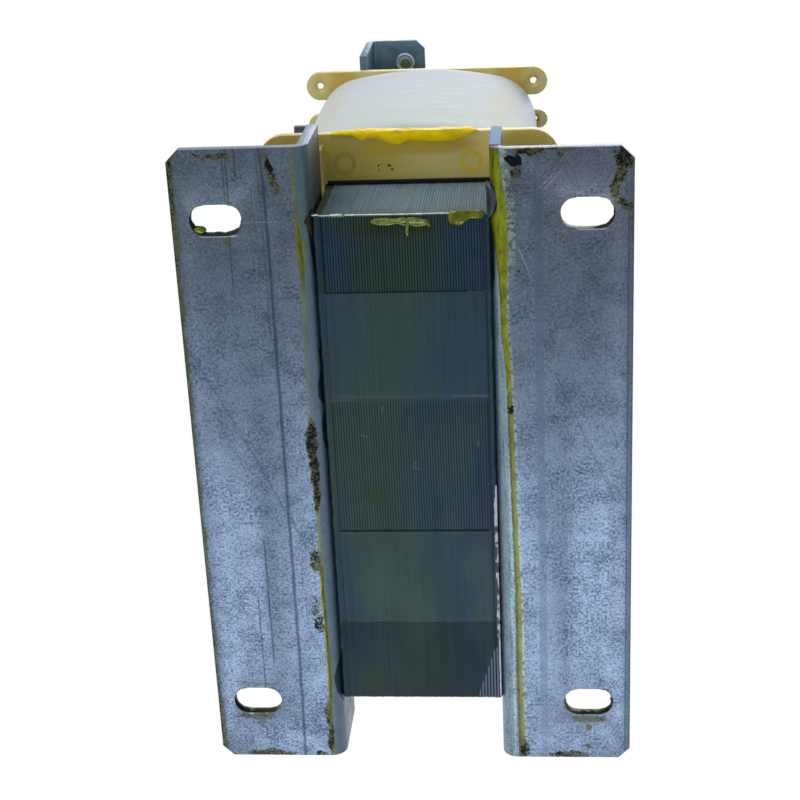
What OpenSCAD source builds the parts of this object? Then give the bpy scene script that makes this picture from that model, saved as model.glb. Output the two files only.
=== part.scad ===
// Three-phase line reactor: a three-limb sheet-steel core on two angle feet,
// a moulded bobbin with a taped coil on each limb, and a terminal shelf on top.
// The origin is at the centre of the four foot slots, on the underside of the feet.
// Y runs along the row of coils and X across the stack of sheets.

/* [Core] */
// Thickness of the stack of sheets
stack_w = 31; // [26:1:36]
// Width of a limb, of a window and of a yoke
limb_w = 20; // [18:1:24]
// Height of the windows
window_h = 60; // [50:1:80]
// Height of the core's underside above the feet's underside
core_z = 1.3; // [0.6:0.1:2.4]
// Thickness of the pads between the limbs and the top yoke
pad_t = 0.8; // [0.4:0.1:1.6]
// Depth of the pressed bands on the yoke's underside
band_d = 0.2; // [0.1:0.05:0.4]

/* [Feet] */
// Length of a foot
foot_l = 126; // [118:1:140]
// Width of the leg that lies on the ground
foot_leg = 25.2; // [23:0.1:30]
// Height of the leg that stands beside the yoke
web_h = 17; // [16:0.5:18]
// Thickness of the bent sheet
sheet_t = 2; // [1.5:0.1:2.2]
// Outer radius of a bend
bend_r = 3; // [2.6:0.1:4]
// Gap between the yoke and a foot
foot_gap = 0.4; // [0.2:0.1:0.6]
// Cut at a foot's outer corners
corner_cut = 2.2; // [1:0.1:4]
// How much shorter the right foot is at its front end
right_cut = 1.2; // [0:0.1:2]
// Width of a slot
slot_w = 5.8; // [4.5:0.1:7]
// Length of a slot, end to end
slot_l = 9.6; // [8:0.1:12]
// Distance between the slots across the stack
slot_dx = 66; // [62:1:68]
// Distance between the slots along the feet
slot_dy = 100; // [90:1:110]

/* [Bobbins] */
// Size of the lower flange across the stack
flange_x = 56.6; // [52:0.1:60]
// Size of the fingered upper flange across the stack
upper_x = 52.6; // [52:0.1:56]
// Thickness of a flange
flange_t = 2; // [1.5:0.1:2.5]
// Corner radius of the lower flange
flange_r = 5; // [2:0.5:8]
// Wall of the tube that sits on the limb
tube_wall = 1.5; // [1:0.1:2]
// Width of the outer fingers on the upper flange
finger_w = 6; // [5:0.1:6.4]
// Width of the inner fingers
inner_finger_w = 4; // [3:0.1:5]
// Width of the slot between two fingers
finger_gap = 3.4; // [3.2:0.1:3.8]
// Depth of the slots between the fingers
finger_depth = 6.5; // [5:0.1:7]
// Diameter of the hole in a finger
finger_hole = 1.4; // [1:0.1:1.8]
// Height of the ribs that hold a bobbin on the yokes
rib_h = 3.4; // [1:0.1:3.6]

/* [Coils] */
// Coil size across the stack
coil_x = 49; // [46:1:49]
// Corner radius of a coil
coil_r = 11; // [8:0.5:14]
// How far the free faces of the end coils bulge
coil_bulge = 1.5; // [0.6:0.1:2]
// Thickness of the tape around a coil
tape_t = 0.6; // [0.4:0.1:1]
// Diameter of a lead with its sleeve
lead_d = 2.8; // [2:0.1:2.9]

/* [Terminals and earth] */
// Length of the terminal shelf
shelf_l = 86; // [80:1:92]
// Reach of the terminal shelf from its upright leg
shelf_reach = 16; // [15:0.5:18]
// Distance between the poles of the terminal strip
pole_pitch = 11; // [10:0.5:11.5]
// Reach of the earth tab beyond the end of the core
earth_reach = 12; // [10:0.5:14]
// Width of the earth tab
earth_w = 13.3; // [12:0.1:13.5]
// Thickness of the earth bracket
earth_t = 1.5; // [1.2:0.1:2]
// Diameter of the earth screw
earth_d = 3; // [2.5:0.1:4]

/* [Clamp bolts] */
// Diameter of a clamp bolt
bolt_d = 5; // [4:0.5:5]
// Distance between the bolts along the core
bolt_dy = 84; // [82:1:86]

/* [Hidden] */
$fn = 64;

zinc = "#8e979e";
sheet_steel = "#4b5350";
nylon = "#e6d9a0";
copper = "#b4703c";
tape = "#eceeea";
steel = "#a6a9ab";
brass = "#c0a050";

// Start and end of each pressed band, as parts of the core's length from its middle
pressed_bands = [[-0.494, -0.355], [-0.146, 0.128]];

// Core heights: the yoke, the limbs and the top yoke on its pads
core_l = 5 * limb_w;
limb_pitch = 2 * limb_w;
yoke_top = core_z + limb_w;
limb_top = yoke_top + window_h;
upper_z = limb_top + pad_t;
core_top = upper_z + limb_w;
half_w = stack_w / 2;
web_x = half_w + foot_gap;

// Bobbin: a tube with play around the limb, and a flange at each end of the window
limb_play = 0.3;
flange_y = limb_pitch - 0.3;
bobbin_z = yoke_top + 0.5;
bobbin_h = window_h - 1;
tube_x = stack_w + 2 * limb_play + 0.2;
tube_y = limb_w + 2 * limb_play;
rib_t = 1;
rib_x = half_w + 0.2;
mark_d = 4;

// Coil: fills the space between the flanges
coil_gap = 0.2;
coil_y = limb_pitch - 1.6;
coil_z = bobbin_z + flange_t + coil_gap;
coil_h = bobbin_h - 2 * flange_t - 2 * coil_gap;

// Arc of a bulging coil face, tangent to the round corners beside it
bulge_half = coil_x / 2 - coil_r;
bulge_rise = coil_r + coil_bulge;
bulge_r = (pow(bulge_half, 2) + pow(bulge_rise, 2) - pow(coil_r, 2)) / (2 * coil_bulge);
bulge_span = bulge_half * bulge_r / (bulge_r - coil_r);

// Terminal shelf and leads: front coil, middle coil and rear coil
shelf_x = half_w + earth_t;
shelf_z = core_top;
lead_x = shelf_x + 6.2;
lead_low = coil_z + coil_h;
lead_bend_low = bobbin_z + bobbin_h + 2.2;
lead_bend_high = shelf_z - 3.1;
joint_d = lead_d + 0.12;
finger_step = flange_y / 2 - finger_w - finger_gap / 2;
lead_exits = [[-limb_pitch, -limb_pitch + finger_step],
              [-finger_step, finger_step],
              [limb_pitch - finger_step, limb_pitch]];
strip_h = 14;
strip_w = 12;
strip_x = shelf_x + shelf_reach - 1.2 - strip_w;
strip_l = 6 * pole_pitch;
ear_l = 3.6;

// Bolts through the yokes
bolt_z_low = core_z + limb_w / 2;
bolt_z_high = upper_z + limb_w / 2;
hole_d = bolt_d + 0.5;
washer_d = 2 * bolt_d;
washer_t = 1;
hex_d = bolt_d * 1.6 / cos(30);
head_h = 3.5;
nut_h = 4;
thread_end = 1.5;

// Earth tab: its own lug stands in front of the yoke's end, a rear lug beside the yoke
tab_x = half_w - 0.5;
earth_bend = earth_t + 0.8;
tab_front = -core_l / 2 - earth_reach;
earth_x = tab_x - earth_w + 4.5;
earth_y = tab_front + 4.7;
collar_d = earth_d + 1.5;
collar_h = 2;

// ---- Shared shapes ----

// Cross-section of a bent angle: one leg along x, the other along y, outer corner at 0
module angle_profile(leg_x, leg_y, t, r) {
    translate([r, 0]) square([leg_x - r, t]);
    translate([0, r]) square([t, leg_y - r]);
    difference() {
        intersection() {
            translate([r, r]) circle(r);
            square(r);
        }
        translate([r, r]) circle(r - t);
    }
}

// Bent angle that runs along Y from y0 to y1
module angle_bar(leg_x, leg_z, y0, y1, t = sheet_t, r = bend_r) {
    translate([0, y1, 0]) rotate([90, 0, 0]) linear_extrude(y1 - y0) angle_profile(leg_x, leg_z, t, r);
}

// Rectangle with round corners, centred
module round_rect(x, y, r) {
    square([x - 2 * r, y], center = true);
    square([x, y - 2 * r], center = true);
    for (sx = [-1, 1], sy = [-1, 1])
        translate([sx * (x / 2 - r), sy * (y / 2 - r)]) circle(r);
}

// Slot cutter along X with round ends
module slot_cutter() {
    cube([slot_l - slot_w, slot_w, 3 * sheet_t], center = true);
    for (s = [-1, 1])
        translate([s * (slot_l - slot_w) / 2, 0, 0]) cylinder(h = 3 * sheet_t, d = slot_w, center = true);
}

// Cylinder along X from x0 to x1
module rod_x(x0, x1, d, y, z, sides = 0) {
    translate([x0, y, z]) rotate([0, 90, 0]) cylinder(h = x1 - x0, d = d, $fn = sides > 0 ? sides : $fn);
}

// Straight run of a lead between two points
module lead_run(a, b) {
    v = b - a;
    h = norm(v);
    translate(a) rotate([0, acos(v[2] / h), atan2(v[1], v[0])]) cylinder(h = h, d = lead_d, $fn = 24);
}

// ---- Feet ----

module foot_blank(front) {
    difference() {
        translate([web_x, 0, 0]) angle_bar(foot_leg, web_h, front, foot_l / 2);
        for (s = [-1, 1]) {
            translate([slot_dx / 2, s * slot_dy / 2, 0]) slot_cutter();
            rod_x(web_x - 1, web_x + sheet_t + 1, hole_d, s * bolt_dy / 2, bolt_z_low);
        }
        for (y = [front, foot_l / 2])
            translate([web_x + foot_leg, y, 0]) rotate([0, 0, 45])
                cube([corner_cut * sqrt(2), corner_cut * sqrt(2), 3 * bend_r], center = true);
    }
}

module foot_right() {
    color(zinc) foot_blank(-foot_l / 2 + right_cut);
}

module foot_left() {
    color(zinc) mirror([1, 0, 0]) foot_blank(-foot_l / 2);
}

// ---- Core ----

// Outline of the E sheets: the yoke with its three limbs
module e_sheet() {
    translate([-core_l / 2, 0]) square([core_l, limb_w]);
    for (i = [-1:1])
        translate([i * limb_pitch - limb_w / 2, limb_w]) square([limb_w, window_h]);
}

module core_stack() {
    color(sheet_steel) difference() {
        translate([-half_w, 0, core_z]) rotate([90, 0, 90]) linear_extrude(stack_w) e_sheet();
        // Bands under the front limb and the middle limb, pressed in a little by the punch
        for (band = pressed_bands)
            translate([-half_w + 1, band[0] * core_l, core_z - 1])
                cube([stack_w - 1.8, (band[1] - band[0]) * core_l, 1 + band_d]);
        for (s = [-1, 1])
            rod_x(-half_w - 1, half_w + 1, hole_d, s * bolt_dy / 2, bolt_z_low);
    }
}

module top_yoke() {
    color(sheet_steel) difference() {
        translate([-half_w, -core_l / 2, upper_z]) cube([stack_w, core_l, limb_w]);
        for (s = [-1, 1])
            rod_x(-half_w - 1, half_w + 1, hole_d, s * bolt_dy / 2, bolt_z_high);
    }
}

module gap_pad(i) {
    color("#b98a4e") translate([-half_w, i * limb_pitch - limb_w / 2, limb_top])
        cube([stack_w, limb_w, pad_t]);
}

module gap_pad_front() { gap_pad(-1); }
module gap_pad_middle() { gap_pad(0); }
module gap_pad_rear() { gap_pad(1); }

// ---- Bobbins ----

// Places of the fingers on one side, from the outer to the inner: [centre along Y, width]
fingers = [[flange_y / 2 - finger_w / 2, finger_w],
           [flange_y / 2 - finger_w - finger_gap - inner_finger_w / 2, inner_finger_w]];

// Upper flange: two pairs of round-ended fingers on each side, with a wide notch between
// the pairs, where the leads rise
module fingered_flange() {
    difference() {
        union() {
            square([upper_x - 2 * finger_depth, flange_y], center = true);
            for (sx = [-1, 1], sy = [-1, 1], f = fingers) translate([0, sy * f[0]]) {
                square([upper_x - f[1], f[1]], center = true);
                translate([sx * (upper_x - f[1]) / 2, 0]) circle(d = f[1]);
            }
        }
        // Round inner ends of the slots between the fingers
        for (sx = [-1, 1], sy = [-1, 1])
            translate([sx * (upper_x / 2 - finger_depth), sy * finger_step]) circle(d = finger_gap);
    }
}

// Holes through the fingers, countersunk from below
module finger_holes() {
    for (sx = [-1, 1], sy = [-1, 1], f = fingers)
        translate([sx * (upper_x - finger_w) / 2, sy * f[0], 0]) {
            translate([0, 0, -1]) cylinder(h = flange_t + 2, d = finger_hole, $fn = 32);
            translate([0, 0, -0.01]) cylinder(h = 0.6, d1 = finger_hole + 1.2, d2 = finger_hole, $fn = 32);
        }
}

// Rib on each side of the yoke
module yoke_ribs(z) {
    for (s = [-1, 1])
        translate([s * (rib_x + rib_t / 2), 0, z + rib_h / 2])
            cube([rib_t, flange_y - 4, rib_h], center = true);
}

module bobbin(i) {
    color(nylon) translate([0, i * limb_pitch, bobbin_z]) difference() {
        union() {
            linear_extrude(flange_t) round_rect(flange_x, flange_y, flange_r);
            linear_extrude(bobbin_h) round_rect(tube_x + 2 * tube_wall, tube_y + 2 * tube_wall, 2);
            translate([0, 0, bobbin_h - flange_t]) linear_extrude(flange_t) fingered_flange();
            yoke_ribs(-rib_h);
            yoke_ribs(bobbin_h);
        }
        translate([0, 0, bobbin_h - flange_t]) finger_holes();
        // Bore for the limb
        translate([0, 0, bobbin_h / 2]) cube([tube_x, tube_y, bobbin_h + 2], center = true);
        // Round marks of the mould's ejectors
        for (sx = [-1, 1], sy = [-1, 1])
            translate([sx * 11.9, sy * 14.2, 0]) difference() {
                cylinder(h = 0.6, d = mark_d, center = true);
                cylinder(h = 1, d = mark_d - 0.7, center = true);
            }
    }
}

module bobbin_front() { bobbin(-1); }
module bobbin_middle() { bobbin(0); }
module bobbin_rear() { bobbin(1); }

// ---- Coils ----

// Outline of a coil, drawn in by off. The front coil bulges forward and the rear one backward.
module coil_outline(i, off) {
    round_rect(coil_x - 2 * off, coil_y - 2 * off, coil_r - off);
    if (i != 0) intersection() {
        translate([0, i * (coil_y / 2 + coil_bulge - bulge_r)]) circle(bulge_r - off, $fn = 360);
        translate([0, i * coil_y / 2]) square([2 * bulge_span, coil_y], center = true);
    }
}

// The bobbin's tube with a little play around it
module tube_space(play) {
    round_rect(tube_x + 2 * tube_wall + 2 * play, tube_y + 2 * tube_wall + 2 * play, 2 + play);
}

module winding(i) {
    color(copper) translate([0, i * limb_pitch, coil_z + tape_t]) linear_extrude(coil_h - 2 * tape_t)
        difference() {
            coil_outline(i, tape_t);
            tube_space(0.2);
        }
}

module winding_front() { winding(-1); }
module winding_middle() { winding(0); }
module winding_rear() { winding(1); }

// Tape around the coil: an outer skin with a rim over each end of the winding
module tape_wrap(i) {
    color(tape) translate([0, i * limb_pitch, coil_z]) difference() {
        linear_extrude(coil_h) difference() {
            coil_outline(i, 0);
            tube_space(0.1);
        }
        translate([0, 0, tape_t]) linear_extrude(coil_h - 2 * tape_t) coil_outline(i, tape_t);
    }
}

module tape_front() { tape_wrap(-1); }
module tape_middle() { tape_wrap(0); }
module tape_rear() { tape_wrap(1); }

// Two leads of a coil: up through the flange, across to their poles and into the strip
module leads(i) {
    for (k = [0, 1]) {
        y0 = lead_exits[i + 1][k];
        y1 = pole_pitch * (2 * i + k - 0.5);
        bend_low = [-lead_x, y0, lead_bend_low];
        bend_high = [-lead_x, y1, lead_bend_high];
        color("#3a3d40") {
            lead_run([-lead_x, y0, lead_low], bend_low);
            translate(bend_low) sphere(d = joint_d, $fn = 32);
            lead_run(bend_low, bend_high);
            translate(bend_high) sphere(d = joint_d, $fn = 32);
            lead_run(bend_high, [-lead_x, y1, shelf_z + 4]);
        }
    }
}

module leads_front() { leads(-1); }
module leads_middle() { leads(0); }
module leads_rear() { leads(1); }

// ---- Clamp bolts ----

// Bolt along X: its head is on the left, at head_x, and its end at end_x
module clamp_bolt(head_x, end_x, y, z) {
    color(steel) {
        rod_x(head_x, end_x, bolt_d, y, z);
        rod_x(head_x - head_h, head_x, hex_d, y, z, 6);
    }
}

module clamp_nut(x, y, z) {
    color(steel) difference() {
        rod_x(x, x + nut_h, hex_d, y, z, 6);
        rod_x(x - 1, x + nut_h + 1, bolt_d + 0.04, y, z);
    }
}

module washer(x, t, d, y, z) {
    color(steel) difference() {
        rod_x(x, x + t, d, y, z);
        rod_x(x - 1, x + t + 1, hole_d, y, z);
    }
}

low_head = -web_x - sheet_t - washer_t;
low_nut = web_x + sheet_t + washer_t;
high_head = -shelf_x - sheet_t - washer_t;
high_nut = half_w + washer_t;

module bolt_bottom_front() { clamp_bolt(low_head, low_nut + nut_h + thread_end, -bolt_dy / 2, bolt_z_low); }
module bolt_bottom_rear() { clamp_bolt(low_head, low_nut + nut_h + thread_end, bolt_dy / 2, bolt_z_low); }
module bolt_top_front() { clamp_bolt(high_head, high_nut + nut_h + thread_end, -bolt_dy / 2, bolt_z_high); }
module bolt_top_rear() { clamp_bolt(high_head, high_nut + nut_h + thread_end, bolt_dy / 2, bolt_z_high); }
module nut_bottom_front() { clamp_nut(low_nut, -bolt_dy / 2, bolt_z_low); }
module nut_bottom_rear() { clamp_nut(low_nut, bolt_dy / 2, bolt_z_low); }
module nut_top_front() { clamp_nut(high_nut, -bolt_dy / 2, bolt_z_high); }
module nut_top_rear() { clamp_nut(high_nut, bolt_dy / 2, bolt_z_high); }

module washers_bottom() {
    for (s = [-1, 1]) {
        washer(low_head, washer_t, washer_d, s * bolt_dy / 2, bolt_z_low);
        washer(low_nut - washer_t, washer_t, washer_d, s * bolt_dy / 2, bolt_z_low);
    }
}

module washers_top() {
    for (s = [-1, 1]) {
        washer(high_head, washer_t, washer_d, s * bolt_dy / 2, bolt_z_high);
        washer(high_nut - washer_t, washer_t, washer_d, s * bolt_dy / 2, bolt_z_high);
    }
}

// Fills the place of the earth bracket's lug under the rear end of the shelf
module spacer_washer() {
    washer(-shelf_x, earth_t, 12, bolt_dy / 2, bolt_z_high);
}

// ---- Terminal shelf and strip ----

module terminal_shelf() {
    color(zinc) difference() {
        translate([-shelf_x, 0, shelf_z]) mirror([1, 0, 0]) mirror([0, 0, 1])
            angle_bar(shelf_reach, web_h, -shelf_l / 2, shelf_l / 2);
        for (s = [-1, 1]) {
            rod_x(-shelf_x - sheet_t - 1, -shelf_x + 1, hole_d, s * bolt_dy / 2, bolt_z_high);
            translate([-strip_x - strip_w / 2, s * (strip_l / 2 + ear_l / 2), shelf_z])
                cylinder(h = 3 * sheet_t, d = 2.6, center = true);
        }
        for (k = [-2.5:1:2.5])
            translate([-lead_x, k * pole_pitch, shelf_z]) cylinder(h = 3 * sheet_t, d = lead_d + 1.4, center = true);
    }
}

// Moulded six-pole strip: a screw well on top and a wire mouth on the outside of each pole
module terminal_strip() {
    well_h = 5;
    mouth = 5;
    color("#4d5154") translate([-strip_x - strip_w, 0, shelf_z]) difference() {
        union() {
            translate([0, -strip_l / 2, 0]) cube([strip_w, strip_l, strip_h - 3]);
            for (k = [-2.5:1:2.5]) translate([2, k * pole_pitch - pole_pitch / 2 + 0.7, 0])
                cube([strip_w - 4, pole_pitch - 1.4, strip_h]);
            translate([0, -strip_l / 2 - ear_l, 0]) cube([strip_w, strip_l + 2 * ear_l, 3]);
        }
        for (k = [-2.5:1:2.5]) translate([0, k * pole_pitch, 0]) {
            // Screw well, clamp chamber, wire mouth and the lead's way in from below
            translate([strip_w / 2, 0, strip_h - well_h]) cylinder(h = well_h + 1, d = 5.6);
            translate([2.4, -3.4, 3]) cube([strip_w - 4.8, 6.8, strip_h - well_h - 3 + 0.01]);
            translate([-1, -mouth / 2, 3.4]) cube([4, mouth, mouth]);
            translate([strip_x + strip_w - lead_x, 0, -1]) cylinder(h = 5, d = lead_d + 0.4);
        }
        for (s = [-1, 1]) translate([strip_w / 2, s * (strip_l / 2 + ear_l / 2), -1]) cylinder(h = 6, d = 2.6);
    }
}

// Brass cages in the chambers of the strip
module terminal_clamps() {
    color(brass) for (k = [-2.5:1:2.5])
        translate([-strip_x - strip_w / 2, k * pole_pitch, shelf_z + 6.4]) difference() {
            cube([6.6, 6.2, 4], center = true);
            cylinder(h = 6, d = 3.04, center = true);
        }
}

// Slotted screw with its thread below z = 0
module slotted_screw(d, length, head_d, head_t) {
    translate([0, 0, -length]) cylinder(h = length + 0.01, d = d);
    difference() {
        cylinder(h = head_t, d = head_d);
        translate([0, 0, head_t]) cube([head_d + 1, 0.8, 1.4], center = true);
    }
}

module terminal_screws() {
    color(steel) for (k = [-2.5:1:2.5])
        translate([-strip_x - strip_w / 2, k * pole_pitch, shelf_z + 9.4]) slotted_screw(3, 4.2, 5, 2);
}

module strip_screws() {
    color(steel) for (s = [-1, 1])
        translate([-strip_x - strip_w / 2, s * (strip_l / 2 + ear_l / 2), shelf_z + 3])
            slotted_screw(2.5, 6.5, 3.4, 1.6);
}

// ---- Earth ----

// Angle of the earth bracket that hangs from z = core_top + earth_t, with its lug's outer face at -x
module earth_angle(x, width, y0, y1) {
    translate([-x, 0, core_top + earth_t]) mirror([0, 0, 1])
        angle_bar(width, web_h + earth_t, y0, y1, earth_t, earth_bend);
}

// Bracket cut and bent from one sheet: a lug beside the yoke, bolted under the shelf, and a tab
// that reaches over the yoke's end, stiffened by a lug of its own
module earth_bracket() {
    neck = -core_l / 2 - 0.4;
    rear_y = -bolt_dy / 2 + 8;
    color(zinc) difference() {
        union() {
            earth_angle(tab_x, earth_w, tab_front, neck);
            earth_angle(shelf_x, 9, neck + 2, rear_y);
            translate([earth_bend - tab_x, neck - 1, core_top]) cube([earth_w - earth_bend, 8, earth_t]);
        }
        translate([earth_w - tab_x, tab_front, core_top]) rotate([0, 0, 45])
            cube([2.6, 2.6, 8], center = true);
        translate([-earth_x, earth_y, core_top]) cylinder(h = 3 * earth_t, d = earth_d + 0.02, center = true);
        rod_x(-shelf_x - 1, -half_w + 1, hole_d, -bolt_dy / 2, bolt_z_high);
    }
}

// Threaded collar pressed into the tab from below
module earth_collar() {
    color(zinc) translate([-earth_x, earth_y, core_top - collar_h]) difference() {
        cylinder(h = collar_h, d = collar_d);
        translate([0, 0, -1]) cylinder(h = collar_h + 2, d = earth_d + 0.02);
    }
}

module earth_screw() {
    color(brass) translate([-earth_x, earth_y, core_top + earth_t])
        slotted_screw(earth_d, earth_t + collar_h - 0.5, 2 * earth_d, 2.2);
}

foot_left();
foot_right();
core_stack();
top_yoke();
gap_pad_front();
gap_pad_middle();
gap_pad_rear();
bobbin_front();
bobbin_middle();
bobbin_rear();
winding_front();
winding_middle();
winding_rear();
tape_front();
tape_middle();
tape_rear();
leads_front();
leads_middle();
leads_rear();
bolt_bottom_front();
bolt_bottom_rear();
bolt_top_front();
bolt_top_rear();
nut_bottom_front();
nut_bottom_rear();
nut_top_front();
nut_top_rear();
washers_bottom();
washers_top();
spacer_washer();
terminal_shelf();
terminal_strip();
terminal_clamps();
terminal_screws();
strip_screws();
earth_bracket();
earth_collar();
earth_screw();
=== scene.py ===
"""Line reactor: galvanised feet, a core of stacked sheets, moulded bobbins and taped coils."""
import math
import random

import bmesh
import bpy
from bpy.props import FloatProperty, FloatVectorProperty, IntProperty, PointerProperty
from mathutils import Matrix, Vector, noise


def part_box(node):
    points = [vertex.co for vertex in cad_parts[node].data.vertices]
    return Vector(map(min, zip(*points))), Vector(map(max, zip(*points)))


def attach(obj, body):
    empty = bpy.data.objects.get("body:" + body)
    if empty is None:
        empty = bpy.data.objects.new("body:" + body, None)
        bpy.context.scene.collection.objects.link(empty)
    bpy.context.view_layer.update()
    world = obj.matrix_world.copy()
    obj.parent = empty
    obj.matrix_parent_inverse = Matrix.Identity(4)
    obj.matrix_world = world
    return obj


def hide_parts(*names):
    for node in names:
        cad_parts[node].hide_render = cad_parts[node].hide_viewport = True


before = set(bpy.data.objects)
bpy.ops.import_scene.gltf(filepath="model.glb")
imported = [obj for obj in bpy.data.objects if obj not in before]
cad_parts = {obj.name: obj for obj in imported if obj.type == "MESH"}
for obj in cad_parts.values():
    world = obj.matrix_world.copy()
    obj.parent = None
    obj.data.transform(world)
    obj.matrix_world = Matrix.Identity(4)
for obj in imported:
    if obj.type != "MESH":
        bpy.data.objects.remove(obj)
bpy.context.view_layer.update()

bl_info = {
    "name": "Line reactor",
    "version": (1, 0, 0),
    "blender": (4, 5, 0),
    "location": "View3D > Sidebar > Reactor",
    "description": "Dresses a line reactor's solids and sets its stage",
    "category": "Object",
}

MM = 0.001
PLACES = ("front", "middle", "rear")
TURN = 2 * math.pi
DOWN = Vector((0, 0, -1))

# Sizes in millimetres that several pieces or finishes share. The feet bend round BEND_RADIUS. The lower
# flanges' undersides lie FLANGE_UNDERSIDE above their bobbins' lowest faces, and each carries four round
# marks of ejector pins, at MARK_ASIDE and MARK_AHEAD from its middle.
LIMB_PITCH = 40
BEND_RADIUS = 3
FLANGE_UNDERSIDE = 3.4
MARK_ASIDE, MARK_AHEAD = 11.9, 14.2
NEAR_MARKS = -LIMB_PITCH - MARK_AHEAD
WIRE_PITCH = 1.4

# How deep dried varnish reaches into what it lies on, and how close points are that become one
SINK = 0.12
WELD = 0.0005


def span(node, axis):
    """Lowest and highest place of a node along one axis, in millimetres."""
    low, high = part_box(node)
    return low[axis] / MM, high[axis] / MM


def srgb(red, green, blue):
    """A colour from a colour chart (0 to 255), as amounts of light."""
    levels = [channel / 255 for channel in (red, green, blue)]
    return tuple(c / 12.92 if c < 0.04 else ((c + 0.055) / 1.055) ** 2.4 for c in levels)


# ---------------------------------------------------------------- settings

def length(name, text, value, **more):
    """A length in millimetres."""
    return FloatProperty(name=name, description=text, default=value, **more)


def tint(name, text, value):
    """A colour that the user may change."""
    return FloatVectorProperty(name=name, description=text, default=value, subtype="COLOR", size=3,
                               min=0, max=1)


class SteelSettings(bpy.types.PropertyGroup):
    light: tint("Light zinc", "Zinc between the darker crystals", srgb(118, 136, 160))
    dark: tint("Dark zinc", "Darker crystals and rubbed places", srgb(54, 70, 94))
    crystal: length("Crystal size", "Size of the mottling, in millimetres", 0.5, min=0.3, max=6)
    edge: length("Edge radius", "Radius of a cut edge, in millimetres", 0.22, min=0.05, max=0.6)


class CoreSettings(bpy.types.PropertyGroup):
    sheet: length("Sheet thickness", "Pitch of the stacked sheets, in millimetres", 0.5, min=0.3, max=1)
    stagger: length("Stagger", "How far the sheets' edges differ, in millimetres", 0.06, min=0, max=0.2)
    blue: tint("Blue steel", "Varnished edges of the sheets", srgb(37, 59, 75))
    green: tint("Green steel", "Sheets under a thicker coat of varnish", srgb(55, 75, 51))


class MouldSettings(bpy.types.PropertyGroup):
    colour: tint("Bobbin colour", "Cream moulded plastic", srgb(228, 212, 132))
    edge: length("Moulded edge", "Radius of a moulded edge, in millimetres", 0.35, min=0.1, max=0.8)


class CoilSettings(bpy.types.PropertyGroup):
    colour: tint("Tape colour", "White tape", srgb(206, 215, 213))
    tape: length("Tape width", "Width of the tape, in millimetres", 19, min=8, max=30)
    rows: IntProperty(name="Rows", description="Rings of points up the coil", default=90, min=24, max=160)


class VarnishSettings(bpy.types.PropertyGroup):
    olive: tint("Olive", "Thin varnish over zinc", srgb(112, 122, 4))
    paste: tint("Paste", "Yellow locking paste", srgb(246, 214, 4))


class StageSettings(bpy.types.PropertyGroup):
    floor: length("Floor size", "Side of the floor, in millimetres", 4000, min=500, max=9000)
    power: FloatProperty(name="Lamp power", description="Factor on the power of all lamps", default=1,
                         min=0, max=10, subtype="FACTOR")


class ReactorSettings(bpy.types.PropertyGroup):
    steel: PointerProperty(type=SteelSettings)
    core: PointerProperty(type=CoreSettings)
    mould: PointerProperty(type=MouldSettings)
    coil: PointerProperty(type=CoilSettings)
    varnish: PointerProperty(type=VarnishSettings)
    stage: PointerProperty(type=StageSettings)


def settings():
    """The reactor's settings in this scene."""
    return bpy.context.scene.reactor


# ---------------------------------------------------------------- shader maths

class Value:
    """A socket that takes part in Python expressions: each operator adds its Math node."""

    def __init__(self, tree, socket):
        self.tree = tree
        self.socket = socket

    def math(self, operation, *others):
        inputs = dict(enumerate((self,) + others))
        return self.tree.node("ShaderNodeMath", {"operation": operation}, inputs)

    def swapped(self, operation, other):
        return self.tree.node("ShaderNodeMath", {"operation": operation}, {0: other, 1: self})

    def __add__(self, other):
        return self.math("ADD", other)

    def __sub__(self, other):
        return self.math("SUBTRACT", other)

    def __rsub__(self, other):
        return self.swapped("SUBTRACT", other)

    def __mul__(self, other):
        return self.math("MULTIPLY", other)

    def __truediv__(self, other):
        return self.math("DIVIDE", other)

    def __rtruediv__(self, other):
        return self.swapped("DIVIDE", other)

    def __abs__(self):
        return self.math("ABSOLUTE")

    __radd__ = __add__
    __rmul__ = __mul__

    def above(self, edge, soft):
        """0 below the edge and 1 above it, over a soft width."""
        if isinstance(edge, Value):
            return (self - edge).above(0, soft)
        inputs = {0: self, 1: edge - soft / 2, 2: edge + soft / 2}
        return self.tree.node("ShaderNodeMapRange", {"interpolation_type": "SMOOTHSTEP"}, inputs)

    def below(self, edge, soft):
        return 1 - self.above(edge, soft)

    def between(self, low, high, soft):
        return self.above(low, soft) * self.below(high, soft)

    def near(self, other, width):
        """1 where the two are the same, fading to 0 at the width."""
        return abs(self - other).below(width * 0.6, width * 0.8)

    def most(self, *others):
        """The greatest of the values."""
        result = self
        for other in others:
            result = result.math("MAXIMUM", other)
        return result

    def capped(self):
        """The value, or 1 where it is greater."""
        return self.math("MINIMUM", 1)


class Nodes:
    """A node tree that is filled from nothing."""

    def __init__(self, tree):
        self.tree = tree
        tree.nodes.clear()

    def node(self, kind, setup=(), inputs=(), out=0):
        """Any node: its settings first, then the values or links of its sockets."""
        made = self.tree.nodes.new(kind)
        for key, value in dict(setup).items():
            if key == "stops":
                self.fill_ramp(made.color_ramp.elements, value)
            else:
                setattr(made, key, value)
        for key, value in dict(inputs).items():
            socket = made.inputs[key]
            if isinstance(value, Value):
                self.tree.links.new(value.socket, socket)
            elif socket.type == "RGBA" and len(value) == 3:
                socket.default_value = (*value, 1)
            else:
                socket.default_value = value
        return Value(self, made.outputs[out]) if len(made.outputs) else None

    def fill_ramp(self, elements, stops):
        """Gives a ramp its stops: (place, level) pairs, the level as its alpha."""
        elements.remove(elements[1])
        elements[0].position, level = stops[0]
        elements[0].color = (level,) * 4
        for place, level in stops[1:]:
            elements.new(place).color = (level,) * 4


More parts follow.
